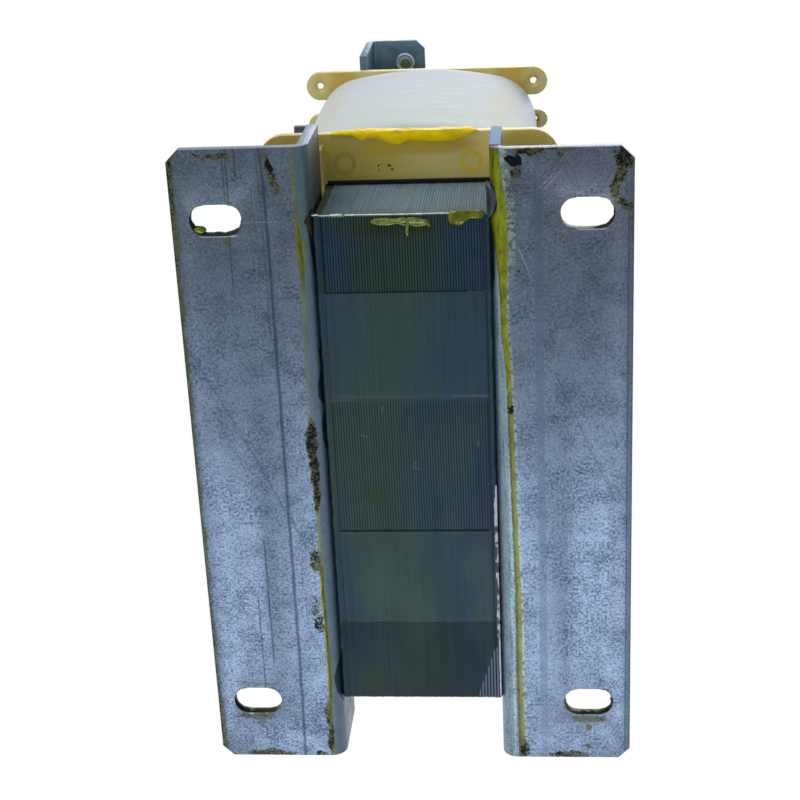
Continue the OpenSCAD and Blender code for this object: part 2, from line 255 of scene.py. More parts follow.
class Finish(Nodes):
    """The node tree of one material."""

    def __init__(self, name):
        self.material = bpy.data.materials.new(name)
        self.material.use_nodes = True
        super().__init__(self.material.node_tree)

    def place(self):
        """The place on the object, in millimetres, as a vector."""
        where = self.node("ShaderNodeTexCoord", out="Object")
        return self.node("ShaderNodeVectorMath", {"operation": "SCALE"}, {0: where, "Scale": 1 / MM})

    def facing(self):
        """The direction that the surface faces."""
        return self.node("ShaderNodeTexCoord", out="Normal")

    def stretched(self, vector, factors):
        """A place whose three parts are multiplied; a small factor makes a noise longer that way."""
        return self.node("ShaderNodeVectorMath", {"operation": "MULTIPLY"}, {0: vector, 1: factors})

    def moved(self, vector, offset):
        return self.node("ShaderNodeVectorMath", {"operation": "ADD"}, {0: vector, 1: offset})

    def axes(self, vector):
        """The three parts of a vector."""
        return [self.node("ShaderNodeSeparateXYZ", inputs={0: vector}, out=i) for i in range(3)]

    def noise(self, vector, size, detail=3, rough=0.55):
        """Noise from 0 to 1 whose waves are size millimetres long."""
        inputs = {"Vector": vector, "Scale": 1 / size, "Detail": detail, "Roughness": rough}
        return self.node("ShaderNodeTexNoise", inputs=inputs)

    def mix(self, factor, first, second):
        return self.node("ShaderNodeMix", {"data_type": "RGBA"}, {0: factor, 6: first, 7: second}, out=2)

    def coats(self, colour, *layers):
        """A colour under several coats, each given as where it lies and its colour, from the first up."""
        for mask, coat in layers:
            colour = self.mix(mask, colour, coat)
        return colour

    def shade(self, factor, darkest, lightest):
        """A grey level between two values, as a number."""
        return self.node("ShaderNodeMapRange", inputs={0: factor, 3: darkest, 4: lightest})

    def bump(self, height, strength, depth=0.1):
        inputs = {"Strength": strength, "Distance": depth * MM, "Height": height}
        return self.node("ShaderNodeBump", inputs=inputs)

    def spot(self, x, y, centre, radii, soft=0.6):
        """1 inside an oval on the plane of x and y."""
        across = (x - centre[0]) / radii[0]
        along = (y - centre[1]) / radii[1]
        return (across * across + along * along).below(1, soft)

    def streak(self, x, y, start, end, width):
        """1 on a straight scratch between two points."""
        run, rise = end[0] - start[0], end[1] - start[1]
        reach = math.hypot(run, rise)
        run, rise = run / reach, rise / reach
        along = (x - start[0]) * run + (y - start[1]) * rise
        across = (y - start[1]) * run - (x - start[0]) * rise
        return across.near(0, width) * along.between(0, reach, min(2, reach * 0.4))

    def course(self, y, points):
        """The x of a bent line through (y, x) points, at each y."""
        start, reach = points[0][0], points[-1][0] - points[0][0]
        low = min(x for _, x in points)
        height = max(x for _, x in points) - low
        stops = [((place - start) / reach, (x - low) / height) for place, x in points]
        ramp = self.node("ShaderNodeValToRGB", {"stops": stops}, {0: (y - start) / reach}, out=1)
        return ramp * height + low

    def surface(self, inputs):
        """Ends the tree with a Principled shader and gives back the material."""
        shader = self.node("ShaderNodeBsdfPrincipled", inputs=inputs)
        self.node("ShaderNodeOutputMaterial", inputs={"Surface": shader})
        return self.material


# ---------------------------------------------------------------- finishes

def scaled(colour, factor):
    """A colour made darker or lighter by a factor."""
    return tuple(min(1, channel * factor) for channel in colour)


BLACK_DIRT = srgb(14, 18, 26)
OLIVE_DIRT = srgb(72, 76, 36)


def zinc_base(f, p):
    """Colour, roughness and height of mottled zinc, with painted light: duller and warmer at the near end,
    lighter and bluer toward the rear.
    """
    x, y, _ = f.axes(p)
    steel = settings().steel
    clusters = f.noise(f.moved(p, (11, 3, 7)), 4.5, 3, 0.6)
    specks = f.noise(p, steel.crystal, 4, 0.8) + (clusters - 0.5) * 0.34
    tone = specks.above(0.47, 0.26)
    glints = f.noise(f.moved(p, (5, 9, 2)), steel.crystal * 0.9, 3, 0.7).above(0.60, 0.16)
    clouds = f.noise(f.moved(p, (1, 7, 4)), 13, 4, 0.6)
    rear = y.above(-22, 70)
    # Painted light: the near end is painted darker and duller, and the rear lighter, bluer and with more
    # glints
    dark = f.mix(rear, srgb(52, 62, 76), steel.dark)
    light = f.mix(rear, srgb(88, 99, 112), steel.light)
    dull = f.mix(x.below(0, 1), srgb(88, 86, 104), srgb(80, 92, 108))
    dull = f.mix(rear, dull, srgb(90, 104, 126))
    colour = f.coats(f.mix(tone, dark, light),
                     (glints * f.shade(rear, 0.25, 0.5), scaled(steel.light, 1.25)),
                     (clouds.above(0.50, 0.16) * f.shade(rear, 0.3, 0.2), dull))
    return colour, f.shade(tone, 0.50, 0.40), specks


def galvanised(name):
    """Mottled zinc of the shelf on top: specks, rolling lines and painted shade on its underside."""
    f = Finish(name)
    p = f.place()
    colour, rough, specks = zinc_base(f, p)
    rolled = f.noise(f.stretched(p, (1.5, 0.04, 1.5)), 1, 3)
    _, _, up = f.axes(f.facing())
    colour = f.coats(colour,
                     (rolled.above(0.62, 0.1) * 0.4, scaled(settings().steel.dark, 0.8)),
                     # Painted shade: faces that look down are painted darker
                     (up.below(-0.5, 0.4) * 0.7, srgb(48, 54, 82)))
    bump = f.bump(specks + rolled * 0.4, 0.25, 0.05)
    return f.surface({"Base Color": colour, "Metallic": 0.7, "Roughness": rough, "Normal": bump})


# Short rolling lines along the feet: x, width, start and end
ROLLING_LINES = ((-31.0, 0.26, -64, -54), (-30.4, 0.3, -64, -52), (-28.8, 0.24, -64, -57),
                 (-29.1, 0.32, 14, 41), (-31.2, 0.24, 26, 47), (-30.8, 0.22, -46, -36),
                 (-26.1, 0.22, -56, -48), (40.15, 0.2, -50, 62))

# Scratches on the undersides of the feet: start, end and width
DARK_SCRATCHES = (((-39.8, -24.7), (-31.9, -8.9), 0.3), ((-31.9, -8.9), (-20, 17.6), 0.3),
                  ((-26.3, -35.2), (-17.0, -35.3), 0.25), ((-36, 20), (-22, 31), 0.18),
                  ((21.7, -40.9), (23.1, -38.1), 0.3), ((27, -20), (38, 6), 0.18),
                  ((30, 12), (34, 33), 0.15))

# Light scratches, and painted highlights along the rear rims of three slots: strength, start, end, width
PALE_SCRATCHES_AND_RIM_HIGHLIGHTS = ((0.4, (20.7, -44), (23.1, -37.9), 0.18), (0.22, (24.6, -54.7), (26.8, -56.9), 0.2),
                  (0.22, (25.4, -54.3), (28.4, -57.8), 0.2), (0.22, (-25.9, -55.4), (-26.2, -49.3), 0.2),
                  (0.22, (-28.8, -49.5), (-21.5, -49.6), 0.18), (1.4, (-35.6, -47.1), (-29.6, -47.1), 0.25),
                  (1.4, (31.5, -47.1), (36.0, -47.1), 0.25), (1.4, (-35, 53.0), (-31, 53.0), 0.25))


def foot_marks(f, x, y, warp):
    """Dark rolling lines, scratches, painted highlights on slot rims and smooth bands on the undersides of
    the feet.
    """
    wander = (warp - 0.5) * 0.4
    main = f.course(y, ((-63, -24.35), (-57, -23.95), (-45, -23.85), (40, -23.95), (63, -24.2))) + wander
    lines = x.near(main, 0.5) * 0.9
    lines = lines.most(x.near(main - 0.8, 0.3) * y.below(-28, 8) * 0.5)
    for place, width, start, end in ROLLING_LINES:
        lines = lines.most((x + wander * 0.5).near(place, width) * y.between(start, end, 3) * 0.8)
    cuts, *others = [f.streak(x + wander, y, *scratch) for scratch in DARK_SCRATCHES]
    cuts = cuts.most(*others)
    pale, *others = [f.streak(x, y, *scratch) * strength for strength, *scratch in PALE_SCRATCHES_AND_RIM_HIGHLIGHTS]
    pale = pale.most(*others)
    smooth = (x + wander * 0.5).between(23.6, 25.0, 0.25) * x.above(0, 1)
    smooth = smooth.most(x.above(40.3, 0.3))
    return lines, cuts, pale, smooth


# Dried varnish along each bend, from the near end to the rear: y, and its borders' distances from the
# middle of the core
RIGHT_VARNISH = ((-63, 16.0, 17.4), (-60.7, 16.0, 17.7), (-57.3, 15.9, 18.05), (-55, 16.5, 18.2),
                 (-53, 17.1, 18.6), (-50.8, 16.9, 18.8), (-48.7, 15.9, 18.8), (-46.3, 16.3, 18.9),
                 (-42, 16.8, 18.85), (-37.5, 17.2, 18.6), (-33, 17.4, 18.5), (-28.6, 17.4, 18.5),
                 (-22.4, 17.9, 18.9), (-16.4, 18.2, 19.1), (-10.3, 18.2, 19.3), (-1, 18.4, 19.5),
                 (8.6, 18.65, 19.7), (15.1, 18.75, 19.8), (25, 18.95, 20.1), (32.3, 18.9, 20.1),
                 (45, 18.85, 20.1), (54.2, 18.95, 20.2), (63, 19.1, 20.6))
LEFT_VARNISH = ((-62, 18.5, 19.1), (-56.5, 18.3, 18.95), (-50.4, 17.95, 18.8), (-44.2, 17.35, 18.9),
                (-37.9, 17.7, 18.5), (-24, 17.8, 18.8), (-16, 18.25, 18.95), (-4, 18.1, 18.9),
                (6, 17.9, 18.6), (19.6, 17.9, 18.9), (32.4, 17.8, 18.7), (44, 17.7, 18.6),
                (55.9, 18.2, 19.1), (63, 18.0, 18.9))

# How strongly the left bend's varnish shows: y and strength
LEFT_STRENGTH = ((-62, 0.5), (-52, 0.6), (-46, 0.95), (-38, 0.8), (-30, 0.5), (-13, 0.4), (-9, 0.9),
                 (10, 0.65), (24, 0.9), (62, 0.95))


def bend_stain(f, y, across, course):
    """1 on the stain along a bend, and the distance past its outer border, across from the middle."""
    inner = f.course(y, [(place, low) for place, low, _ in course])
    outer = f.course(y, [(place, high) for place, _, high in course])
    return across.above(inner, 0.25) * across.below(outer, 0.3), across - outer


# Dark varnish that crept over the left bend from the gap, and painted shade there: (y, distance from the
# middle)
LEFT_CREEP_AND_SHADE = ((-51, 15.9), (-49.5, 16.9), (-46, 16.6), (-43, 16.3), (-38, 16.1), (-33, 15.9),
              (-26, 15.9), (-24, 16.35), (-21, 16.0), (-18, 16.75), (-15.5, 16.75), (-13.2, 16.0),
              (-10.5, 16.6), (-6.4, 16.6), (-4, 15.95), (40, 15.9), (43, 16.9), (45.5, 17.4),
              (48, 17.1), (52, 15.9))

# Dirt on the undersides of the feet: middle, radii, how much dried varnish, how much soot
FOOT_DIRT = (((-31.0, -53.8), (0.8, 1.3), 0.6, 0), ((-31.1, -46.2), (0.8, 1.0), 0.9, 0),
             ((-34.5, -54.5), (1.2, 0.8), 0.4, 0), ((-21.2, -46), (0.8, 2.4), 0.5, 0.3),
             ((-32, -61.6), (4.2, 0.5), 0.9, 0.9), ((-18.6, -7.5), (1.1, 3.8), 1.3, 1.25),
             ((-18.4, -1.0), (1.05, 4.4), 1.3, 1.3), ((-18.3, 5.0), (0.7, 3.4), 1.2, 1.15),
             ((-19.5, 18.5), (1.1, 2.8), 1.0, 1.05), ((-20.0, 28.6), (0.8, 2.6), 0.8, 0.9),
             ((-19.4, 32.2), (0.9, 2.2), 0.9, 1.3), ((-19.1, 52.5), (0.6, 2.4), 1, 1),
             ((-18.8, 58), (0.7, 4.2), 1, 1.15), ((-33.5, 53.5), (4.2, 0.9), 0.9, 0.7),
             ((-32.4, 54.9), (1.2, 1.3), 0.7, 0.3), ((-33.5, 45.9), (4.2, 0.6), 0.7, 0.2),
             ((-31, 62.5), (5.4, 0.8), 1.1, 1.0), ((-21, 62.6), (1.6, 0.5), 0.9, 1.1),
             ((20.1, -60.0), (1.3, 0.95), 0.8, 2.6), ((20.4, -57.7), (1.0, 1.3), 1.1, 1.0),
             ((22.9, -61.3), (3.6, 0.8), 1.1, 1.15), ((28.3, -61.5), (3.6, 0.5), 0.9, 0.8),
             ((28.5, -60.6), (0.5, 0.7), 0.9, 1.1), ((39.4, -60.2), (2.1, 2.2), 1.2, 1.25),
             ((38.4, -57.0), (1.3, 1.9), 1.2, 1.15), ((37.7, -54.4), (1.0, 2.0), 1.1, 1.05),
             ((38.6, -51.9), (1.5, 0.6), 1, 0.9), ((40.0, -51.0), (1.3, 0.6), 1.1, 0.95),
             ((40.9, -47.6), (0.5, 3.6), 1, 0.6), ((26.6, -47.2), (2.2, 4.0), 0.45, 0),
             ((22.9, -43), (0.9, 1.3), 0.4, 0.75), ((21.0, -38.8), (0.7, 0.9), 0.5, 0.85),
             ((33.3, -43.5), (0.5, 1.2), 0.3, 0.7), ((20.2, -48.6), (0.7, 1.1), 0.5, 0.8),
             ((33, 54.1), (4.0, 0.9), 0.9, 0.6), ((33, 56), (0.9, 0.9), 1, 0.3),
             ((29.2, 62.4), (4.6, 0.8), 1, 1.15), ((20.3, 61.0), (1.0, 1.9), 1, 1.3),
             ((33, 60.4), (0.5, 0.5), 1.1, 0.8), ((18.9, -12.8), (0.6, 0.9), 0.8, 1.5),
             ((18.8, -14.3), (0.4, 0.5), 1, 0))


def foot_stains(f, p, x, y, warp):
    """Where the feet's undersides carry olive dirt, gold varnish, its crust, soot and dark rims."""
    fine = f.noise(f.moved(p, (3, 8, 1)), 1.3, 4, 0.65)
    grit = f.noise(f.moved(p, (6, 2, 4)), 0.45, 3, 0.6)
    wx = x + (warp - 0.5) * 2.2 + (fine - 0.5) * 1.8
    wy = y + (warp - 0.5) * 2 + (fine - 0.5) * 2.4
    streak = f.streak(wx, wy, (-23.7, -62.8), (-21.1, -54.2), 1.5)
    olive, soot = streak * 0.9, streak * 0.9
    soot = soot.most(f.streak(wx * 0.6 + x * 0.4, wy, (-23.1, -60.8), (-22.1, -58.4), 0.75) * 2.4)
    rim_width = f.course(y, ((-60, 1.4), (-48, 1.3), (-35, 0.9), (0, 0.7), (40, 0.8), (60, 1.2)))
    ragged = (warp - 0.5) * 1.6 + (fine - 0.5) * 2.0 + (grit - 0.5) * 2.0
    rim = (x + 41 - rim_width + ragged).below(0, 0.6) * x.below(0, 1)
    olive, soot = olive.most(rim * 0.95), soot.most(rim * (0.75 + y.below(-52, 4) * 0.25))
    rim_right = (41.1 - x + (grit - 0.5) * 1.2).below(0.3, 0.3)
    olive = olive.most(rim_right * 0.75)
    for centre, radii, thin, thick in FOOT_DIRT:
        mark = f.spot(wx, wy, centre, radii, 1.1)
        olive = olive.most(mark * thin)
        soot = soot.most(mark * thick) if thick else soot
    crumbs = fine * 0.5 + grit * 0.6
    black = (soot * 0.25 + crumbs).above(0.82, 0.17) * soot.above(0.1, 0.2)
    olive = olive.capped() * (olive * 0.4 + crumbs).above(0.80, 0.3)
    wobble = (fine - 0.5) * 0.6
    left, _ = bend_stain(f, y, wobble - x, LEFT_VARNISH)
    left = left * f.course(y, LEFT_STRENGTH)
    right, beyond = bend_stain(f, y, x + wobble, RIGHT_VARNISH)
    gold = left.most(right)
    clumps = crumbs.above(0.56, 0.2)
    flaky = beyond.between(-0.1, 1.5, 0.6) * y.below(-40, 16) * (0.15 + clumps)
    flaky = flaky.most(beyond.between(-0.5, 0.5, 0.3) * y.above(-44, 8) * grit.above(0.42, 0.16) * 0.85)
    # Toward the rear the line on the right is darkest along its inner side
    inner_dark = beyond.below(-0.62, 0.4) * y.above(-18, 16) * x.above(0, 1)
    return olive, gold, flaky, black, inner_dark.most(soot.above(0.2, 0.4))


def feet_finish(name):
    """Galvanised feet: mottled zinc with rolling lines, dried varnish and dark varnish inside."""
    steel = settings().steel
    f = Finish(name)
    p = f.place()
    x, y, z = f.axes(p)
    side, end, up = f.axes(f.facing())
    left, right = x.below(0, 1), x.above(0, 1)
    warp = f.noise(p, 6, 4)
    colour, rough, specks = zinc_base(f, p)
    under = z.below(0.5, 0.4)
    lines, cuts, pale, smooth = foot_marks(f, x, y, warp)
    olive, gold, flaky, black, dark_rim = foot_stains(f, p, x, y, warp)
    colour = f.coats(colour,
                     # The smooth bands are painted lighter toward the rear, as painted light like the zinc
                     (smooth * under * 0.6, f.mix(y.above(-30, 60), srgb(70, 82, 100), srgb(86, 102, 128))),
                     (lines * under * 0.75, srgb(38, 48, 66)),
                     (cuts * under * 0.4, scaled(steel.dark, 0.7)))
    # The bends are burnished smooth, with fine lines along them. The right bend is painted lit, a painted
    # reflection, and the left painted dim, teal at its near end, as painted shade
    drawn = f.noise(f.stretched(p, (2.2, 0.12, 2.2)), 1, 3)
    bend = abs(x).below(18.6, 0.7) * z.below(BEND_RADIUS + 0.4, 0.8)
    lit = f.mix((drawn * 0.5 + specks * 0.6).above(0.52, 0.3), srgb(84, 108, 120), srgb(142, 166, 176))
    dim = f.mix(y.above(-42, 20), f.mix(drawn, srgb(60, 84, 84), srgb(84, 108, 112)), srgb(88, 104, 120))
    # Cut ends, dull on the right foot's web, and the walls of the slots, which are painted dark as painted
    # shade, olive in places
    cut_end = abs(end).above(0.75, 0.2) * abs(y).above(60, 1)
    dull_end = cut_end * right * z.above(2.4, 0.5)
    wall = abs(up).below(0.6, 0.3) * abs(x).between(25, 39.8, 0.4) * abs(y).below(57, 1)
    flakes = f.mix(f.noise(p, 0.9, 3, 0.6).above(0.47, 0.1), srgb(72, 80, 62), srgb(142, 154, 142))
    # The right bend lies in the shade of the core at its near end, painted there as painted shadow, and old
    # varnish darkens it
    shade_edge = f.course(y, ((-50, 17.6), (-44, 16.6), (-38, 16.5), (-34, 15.9), (-28, 15.5)))
    shaded = right * x.below(shade_edge, 0.3) * under.most(bend)
    colour = f.coats(colour,
                     (bend * right * 0.85, lit),
                     (bend * left * 0.75, dim),
                     (cut_end, f.mix(dull_end, srgb(112, 124, 142), srgb(148, 166, 198))),
                     (wall, f.mix(warp.above(0.5, 0.1), srgb(26, 32, 36), srgb(46, 52, 34))),
                     (flaky.capped() * under * 0.75, flakes),
                     (shaded * 0.9, srgb(26, 40, 50)),
                     # Light scratches, and painted highlights on the slots' rear rims
                     (pale.capped() * under * 0.6, srgb(176, 188, 196)),
                     (olive * under * 0.85, OLIVE_DIRT))
    gilt = f.coats(f.mix(warp.above(0.5, 0.2), srgb(78, 86, 12), srgb(102, 108, 20)),
                   (y.above(-10, 40) * 0.6, srgb(88, 92, 38)),
                   (dark_rim * 0.8, srgb(56, 56, 28)),
                   (black * 0.6, srgb(30, 34, 10)))
    upright = abs(side).above(0.6, 0.2) * z.above(2.4, 0.6)
    # Dark varnish with a wavy border, and painted shade, on the bend and on the side of the web that faces
    # the core
    creep_and_shade = (x + f.course(y, LEFT_CREEP_AND_SHADE) + (warp - 0.5) * 0.6).above(0.02, 0.14)
    creep_and_shade = creep_and_shade * x.below(-10, 1) * z.below(16, 1) * y.above(-51, 1.5)
    colour = f.coats(colour,
                     (gold * (1 - cut_end.most(upright)) * 0.9, gilt),
                     (black * under, BLACK_DIRT),
                     (creep_and_shade * 0.92, srgb(22, 38, 48)))
    bump = f.bump(specks, 0.25, 0.05)
    metal = 0.7 + gold.most(black) * under.most(bend) * 0.2 - dull_end * 0.6
    return f.surface({"Base Color": colour, "Metallic": metal, "Roughness": rough + dull_end * 0.4,
                      "Normal": bump, "Specular IOR Level": 0.2})


# Pools of varnish on the core's underside: middle, radii, softness and strength
CORE_POOLS = (((-7, 5.4), (2.8, 1.6), 1.6, 0.6), ((-9.8, 46), (2.2, 3.2), 1.8, 0.5),
              ((-14.4, -36.7), (0.5, 1.1), 0.6, 1.4), ((-14.2, 32.8), (0.4, 0.9), 0.6, 1.4))

# Light scratches on the core's underside: start and end
CORE_SCRATCHES = (((0.9, -1.7), (0, -0.4)), ((0, -0.5), (1.5, -0.3)), ((-9.5, -7.4), (-7.9, -6.8)),
                  ((-4.9, -13.3), (-5, -11.5)), ((12.6, -6), (12.7, -4.6)))


def core_marks(f, x, y, fine, inside):
    """Pools of varnish, dark seams between the bands, light scratches, and painted highlights along the steps
    between the bands, on the core's underside.
    """
    wx, wy = x + (fine - 0.5) * 1.4, y + (fine - 0.5) * 1.4
    pool, *others = [f.spot(wx, wy, *place) * strength for *place, strength in CORE_POOLS]
    pool = pool.most(*others, f.streak(wx, wy, (-9.6, 3.2), (-4.2, 7.2), 1.2) * 0.6)
    seam = y.near(12.68, 0.26) * x.between(-14.5, 14.1, 0.3)
    seam = seam.most(x.near(-14.4, 0.24) * y.between(-14, 12.7, 1) * 0.6, x.near(14.8, 0.24) * 0.7,
                     x.near(-14.35, 0.24) * y.below(-35.6, 0.4), y.near(-35.55, 0.2) * inside * 0.4)
    # Painted highlights along the edges of the steps between the bands; the streaks after them are light
    # scratches
    bright = y.near(-14.35, 0.2) * x.between(-14.6, -10.2, 1)
    bright = bright.most(y.near(-15.1, 0.2) * x.between(8, 14.9, 1), y.near(-14.8, 1.3) * inside * 0.25,
                         y.near(-35.5, 0.2) * x.between(11.5, 15, 1) * fine.above(0.5, 0.1),
                         *[f.streak(wx, wy, start, end, 0.22) for start, end in CORE_SCRATCHES])
    return pool, seam, bright


def core_finish(name):
    """Edges of varnished sheets: blue and green shades, ruled bands and a bright trimmed end."""
    core = settings().core
    f = Finish(name)
    p = f.place()
    x, y, z = f.axes(p)
    count = (x - span("core_stack", 0)[0]) / core.sheet
    own = f.node("ShaderNodeTexWhiteNoise", {"noise_dimensions": "1D"}, {"W": count.math("FLOOR")})
    groove = abs(count.math("FRACT") - 0.5).above(0.34, 0.22)
    ridge = abs(count.math("FRACT") - 0.24).below(0.12, 0.1)
    streaks = f.noise(f.stretched(p, (3, 0.1, 0.2)), 1.3, 4)
    clouds = f.noise(f.moved(f.stretched(p, (1, 0.55, 1)), (7, 31, 2)), 9, 3, 0.5)
    fine = f.noise(p, 1.2, 3)
    brushed = f.noise(f.stretched(f.moved(p, (4, 1, 9)), (0.35, 1, 1)), 2.2, 4, 0.6)
    under = z.below(2, 0.5)
    inside = x.between(-14.35, 14.75, 0.15)
    first, third = y.below(-35.5, 0.25), y.between(-14.75, 12.7, 0.25)
    ruled = (first + third * 0.6) * inside * under + (1 - under) * 0.4
    # A green column of thicker varnish wanders along the yoke
    column = (x + 4 - ((y + 50) * 0.0628).math("COSINE") * 4 + (clouds - 0.5) * 9).near(0, 13)
    green = (column * f.shade(y.above(-35.5, 1), 0.8, 0.75)).most(clouds.above(0.56, 0.14) * 0.4)
    halo = f.spot(x + (clouds - 0.5) * 6, y + (clouds - 0.5) * 3, (-3.5, -48.2), (10.5, 2.6), 0.9) * under
    colour = f.coats(f.mix(green, core.blue, core.green),
                     (y.above(-35.5, 0.5) * 0.2, srgb(84, 106, 116)),
                     (brushed.above(0.55, 0.2) * 0.25, srgb(58, 76, 84)),
                     (halo * 0.75, srgb(50, 62, 20)),
                     (y.above(32.8, 0.4) * under * 0.6, srgb(14, 26, 34)))
    level = own * 0.25 + streaks * 0.75
    colour = f.mix(level, f.mix(0.30, colour, (0, 0, 0)), f.mix(0.06, colour, srgb(110, 124, 134)))
    pool, seam, bright = core_marks(f, x, y, fine, inside)
    # Sheets fanned open at one corner show pale gaps
    fan = (x + (y - 38.3) * 0.33).above(14.9, 0.2) * y.above(38.5, 0.5) * under
    gaps = (x / 0.6 + 0.15).math("FRACT").between(0.25, 0.7, 0.25)
    # The end was trimmed clean: paler, greener toward its lower edge, green varnish at the left
    clean = abs(y).above(49.75, 0.2) * (1 - under * 0.6)
    trimmed = f.coats(f.mix(level, srgb(108, 130, 140), srgb(158, 178, 190)),
                      (z.below(5, 6) * 0.45, srgb(96, 112, 88)),
                      (groove * 0.35, srgb(60, 76, 74)),
                      ((x + (fine - 0.5)).below(-14.2, 0.3) * 0.85, srgb(74, 88, 44)))
    # The broad side of the outermost sheets is a little lighter than their edges
    flank, _, _ = f.axes(f.facing())
    colour = f.coats(colour,
                     (ridge * first * inside * under * (1 - column * 0.8) * 0.45, srgb(66, 98, 130)),
                     (groove * ruled * 0.85, srgb(10, 18, 32)),
                     (pool * under * 0.6, srgb(50, 64, 16)),
                     (seam * under * 0.8, srgb(16, 24, 24)),
                     # Painted highlights on the band steps, and light scratches
                     (bright * under * 0.4, srgb(100, 120, 132)),
                     (fan * 0.9, f.mix(gaps, srgb(34, 42, 54), srgb(104, 116, 132))),
                     (clean, trimmed),
                     (abs(flank).above(0.7, 0.2) * 0.4, f.mix(streaks, srgb(60, 76, 84), srgb(96, 112, 120))))
    rough = f.shade(clouds.above(0.5, 0.3), 0.40, 0.26)
    bump = f.bump(streaks * 0.5 + pool * 0.8 - groove * ruled, 0.3, 0.05)
    return f.surface({"Base Color": colour, "Metallic": 0.1, "Roughness": rough, "Normal": bump,
                      "Specular IOR Level": 0.04})


def mould_finish(name):
    """Cream nylon with an uneven shade, amber where varnish soaked in, and painted shade and light on the
    flanges.
    """
    mould = settings().mould
    f = Finish(name)
    p = f.place()
    x, y, z = f.axes(p)
    cloud = f.noise(p, 12, 3)
    grain = f.noise(p, 0.6, 3)
    flow = f.noise(f.stretched(p, (0.15, 1, 0.3)), 5, 4)
    under = z.below(span("bobbin_front", 2)[0] + FLANGE_UNDERSIDE + 0.2, 0.4)
    # Varnish has soaked into the underside between the feet
    soaked = f.noise(f.moved(p, (2, 9, 4)), 10, 4, 0.6).above(0.62, 0.12)
    soaked = soaked.most(f.spot(x, y, (4, -56.4), (7, 0.9), 0.9) * under)
    coated = under * y.below(-51, 1)
    amber = f.spot(x + flow * 3, y + flow, (6.5, -56.9), (7.5, 1.7), 1.3)
    amber = amber.most(f.spot(x, y + flow, (-4, -56.6), (4.5, 1.6), 1.3) * 0.8)
    amber = amber.most(f.spot(x, y, (22.5, -58), (4.5, 2.2), 1.3) * 0.6)
    # Old varnish in the rings that the ejector pins left, with painted shade in them, darker on the left
    outer, inner = [[f.spot(x, y, (place, NEAR_MARKS), (reach, reach), 0.3)
                     for place in (-MARK_ASIDE, MARK_ASIDE)] for reach in (2.15, 1.4)]
    ring = outer[0].most(outer[1]) - inner[0].most(inner[1])
    ring_varnish_and_shade = f.mix(x.above(0, 1), srgb(176, 156, 40), srgb(255, 216, 8))
    # Painted shade in amber along the coils, on the underside of the upper flange, fading out toward its
    # fingers
    upper = z.above(span("tape_front", 2)[1] - 0.4, 0.4)
    _, _, up = f.axes(f.facing())
    shade_by_coil = (abs(x) + flow * 4 - x.above(0, 1)).between(17, 23, 3) * up.below(-0.5, 0.2)
    # Specks of soot, and a dark line of painted shade where the flange meets the core
    soot = f.noise(f.moved(p, (5, 3, 8)), 0.7, 3).above(0.60, 0.05) * f.spot(x, y, (-4.6, -53.3), (2.6, 0.8))
    front = span("core_stack", 1)[0]
    joint_shade = y.between(front - 1.0, front + 3, 0.25) * x.between(-15.4, 15.4, 0.3)
    colour = f.coats(f.mix(cloud, scaled(mould.colour, 0.86), scaled(mould.colour, 1.08)),
                     (flow.above(0.56, 0.3) * 0.35, srgb(214, 190, 96)),
                     (soaked * 0.5, srgb(176, 152, 40)),
                     (coated * 0.55, srgb(214, 190, 50)),
                     # Painted shade on the left of the coated underside, and painted light on its right
                     (coated * (x + cloud * 8).below(-2, 14) * 0.4, srgb(150, 128, 40)),
                     (coated * (x + cloud * 8).above(6, 12) * 0.7, srgb(244, 226, 140)),
                     (coated * amber * 0.9, srgb(212, 176, 0)),
                     (ring * under * 0.8, ring_varnish_and_shade),
                     (shade_by_coil * upper * 0.7, srgb(204, 166, 30)),
                     (abs(x).above(24.4, 1.5) * upper * 0.4, srgb(236, 224, 166)),
                     (soot.most(joint_shade) * under, srgb(20, 14, 26)))
    bump = f.bump(grain + flow * 0.6, 0.12, 0.05)
    rough = f.shade(soaked, 0.42, 0.24)
    fixed = {"Subsurface Weight": 0.15, "Subsurface Radius": (0.8, 0.6, 0.3), "Subsurface Scale": 0.002}
    return f.surface({"Base Color": colour, "Roughness": rough, "Normal": bump, **fixed})


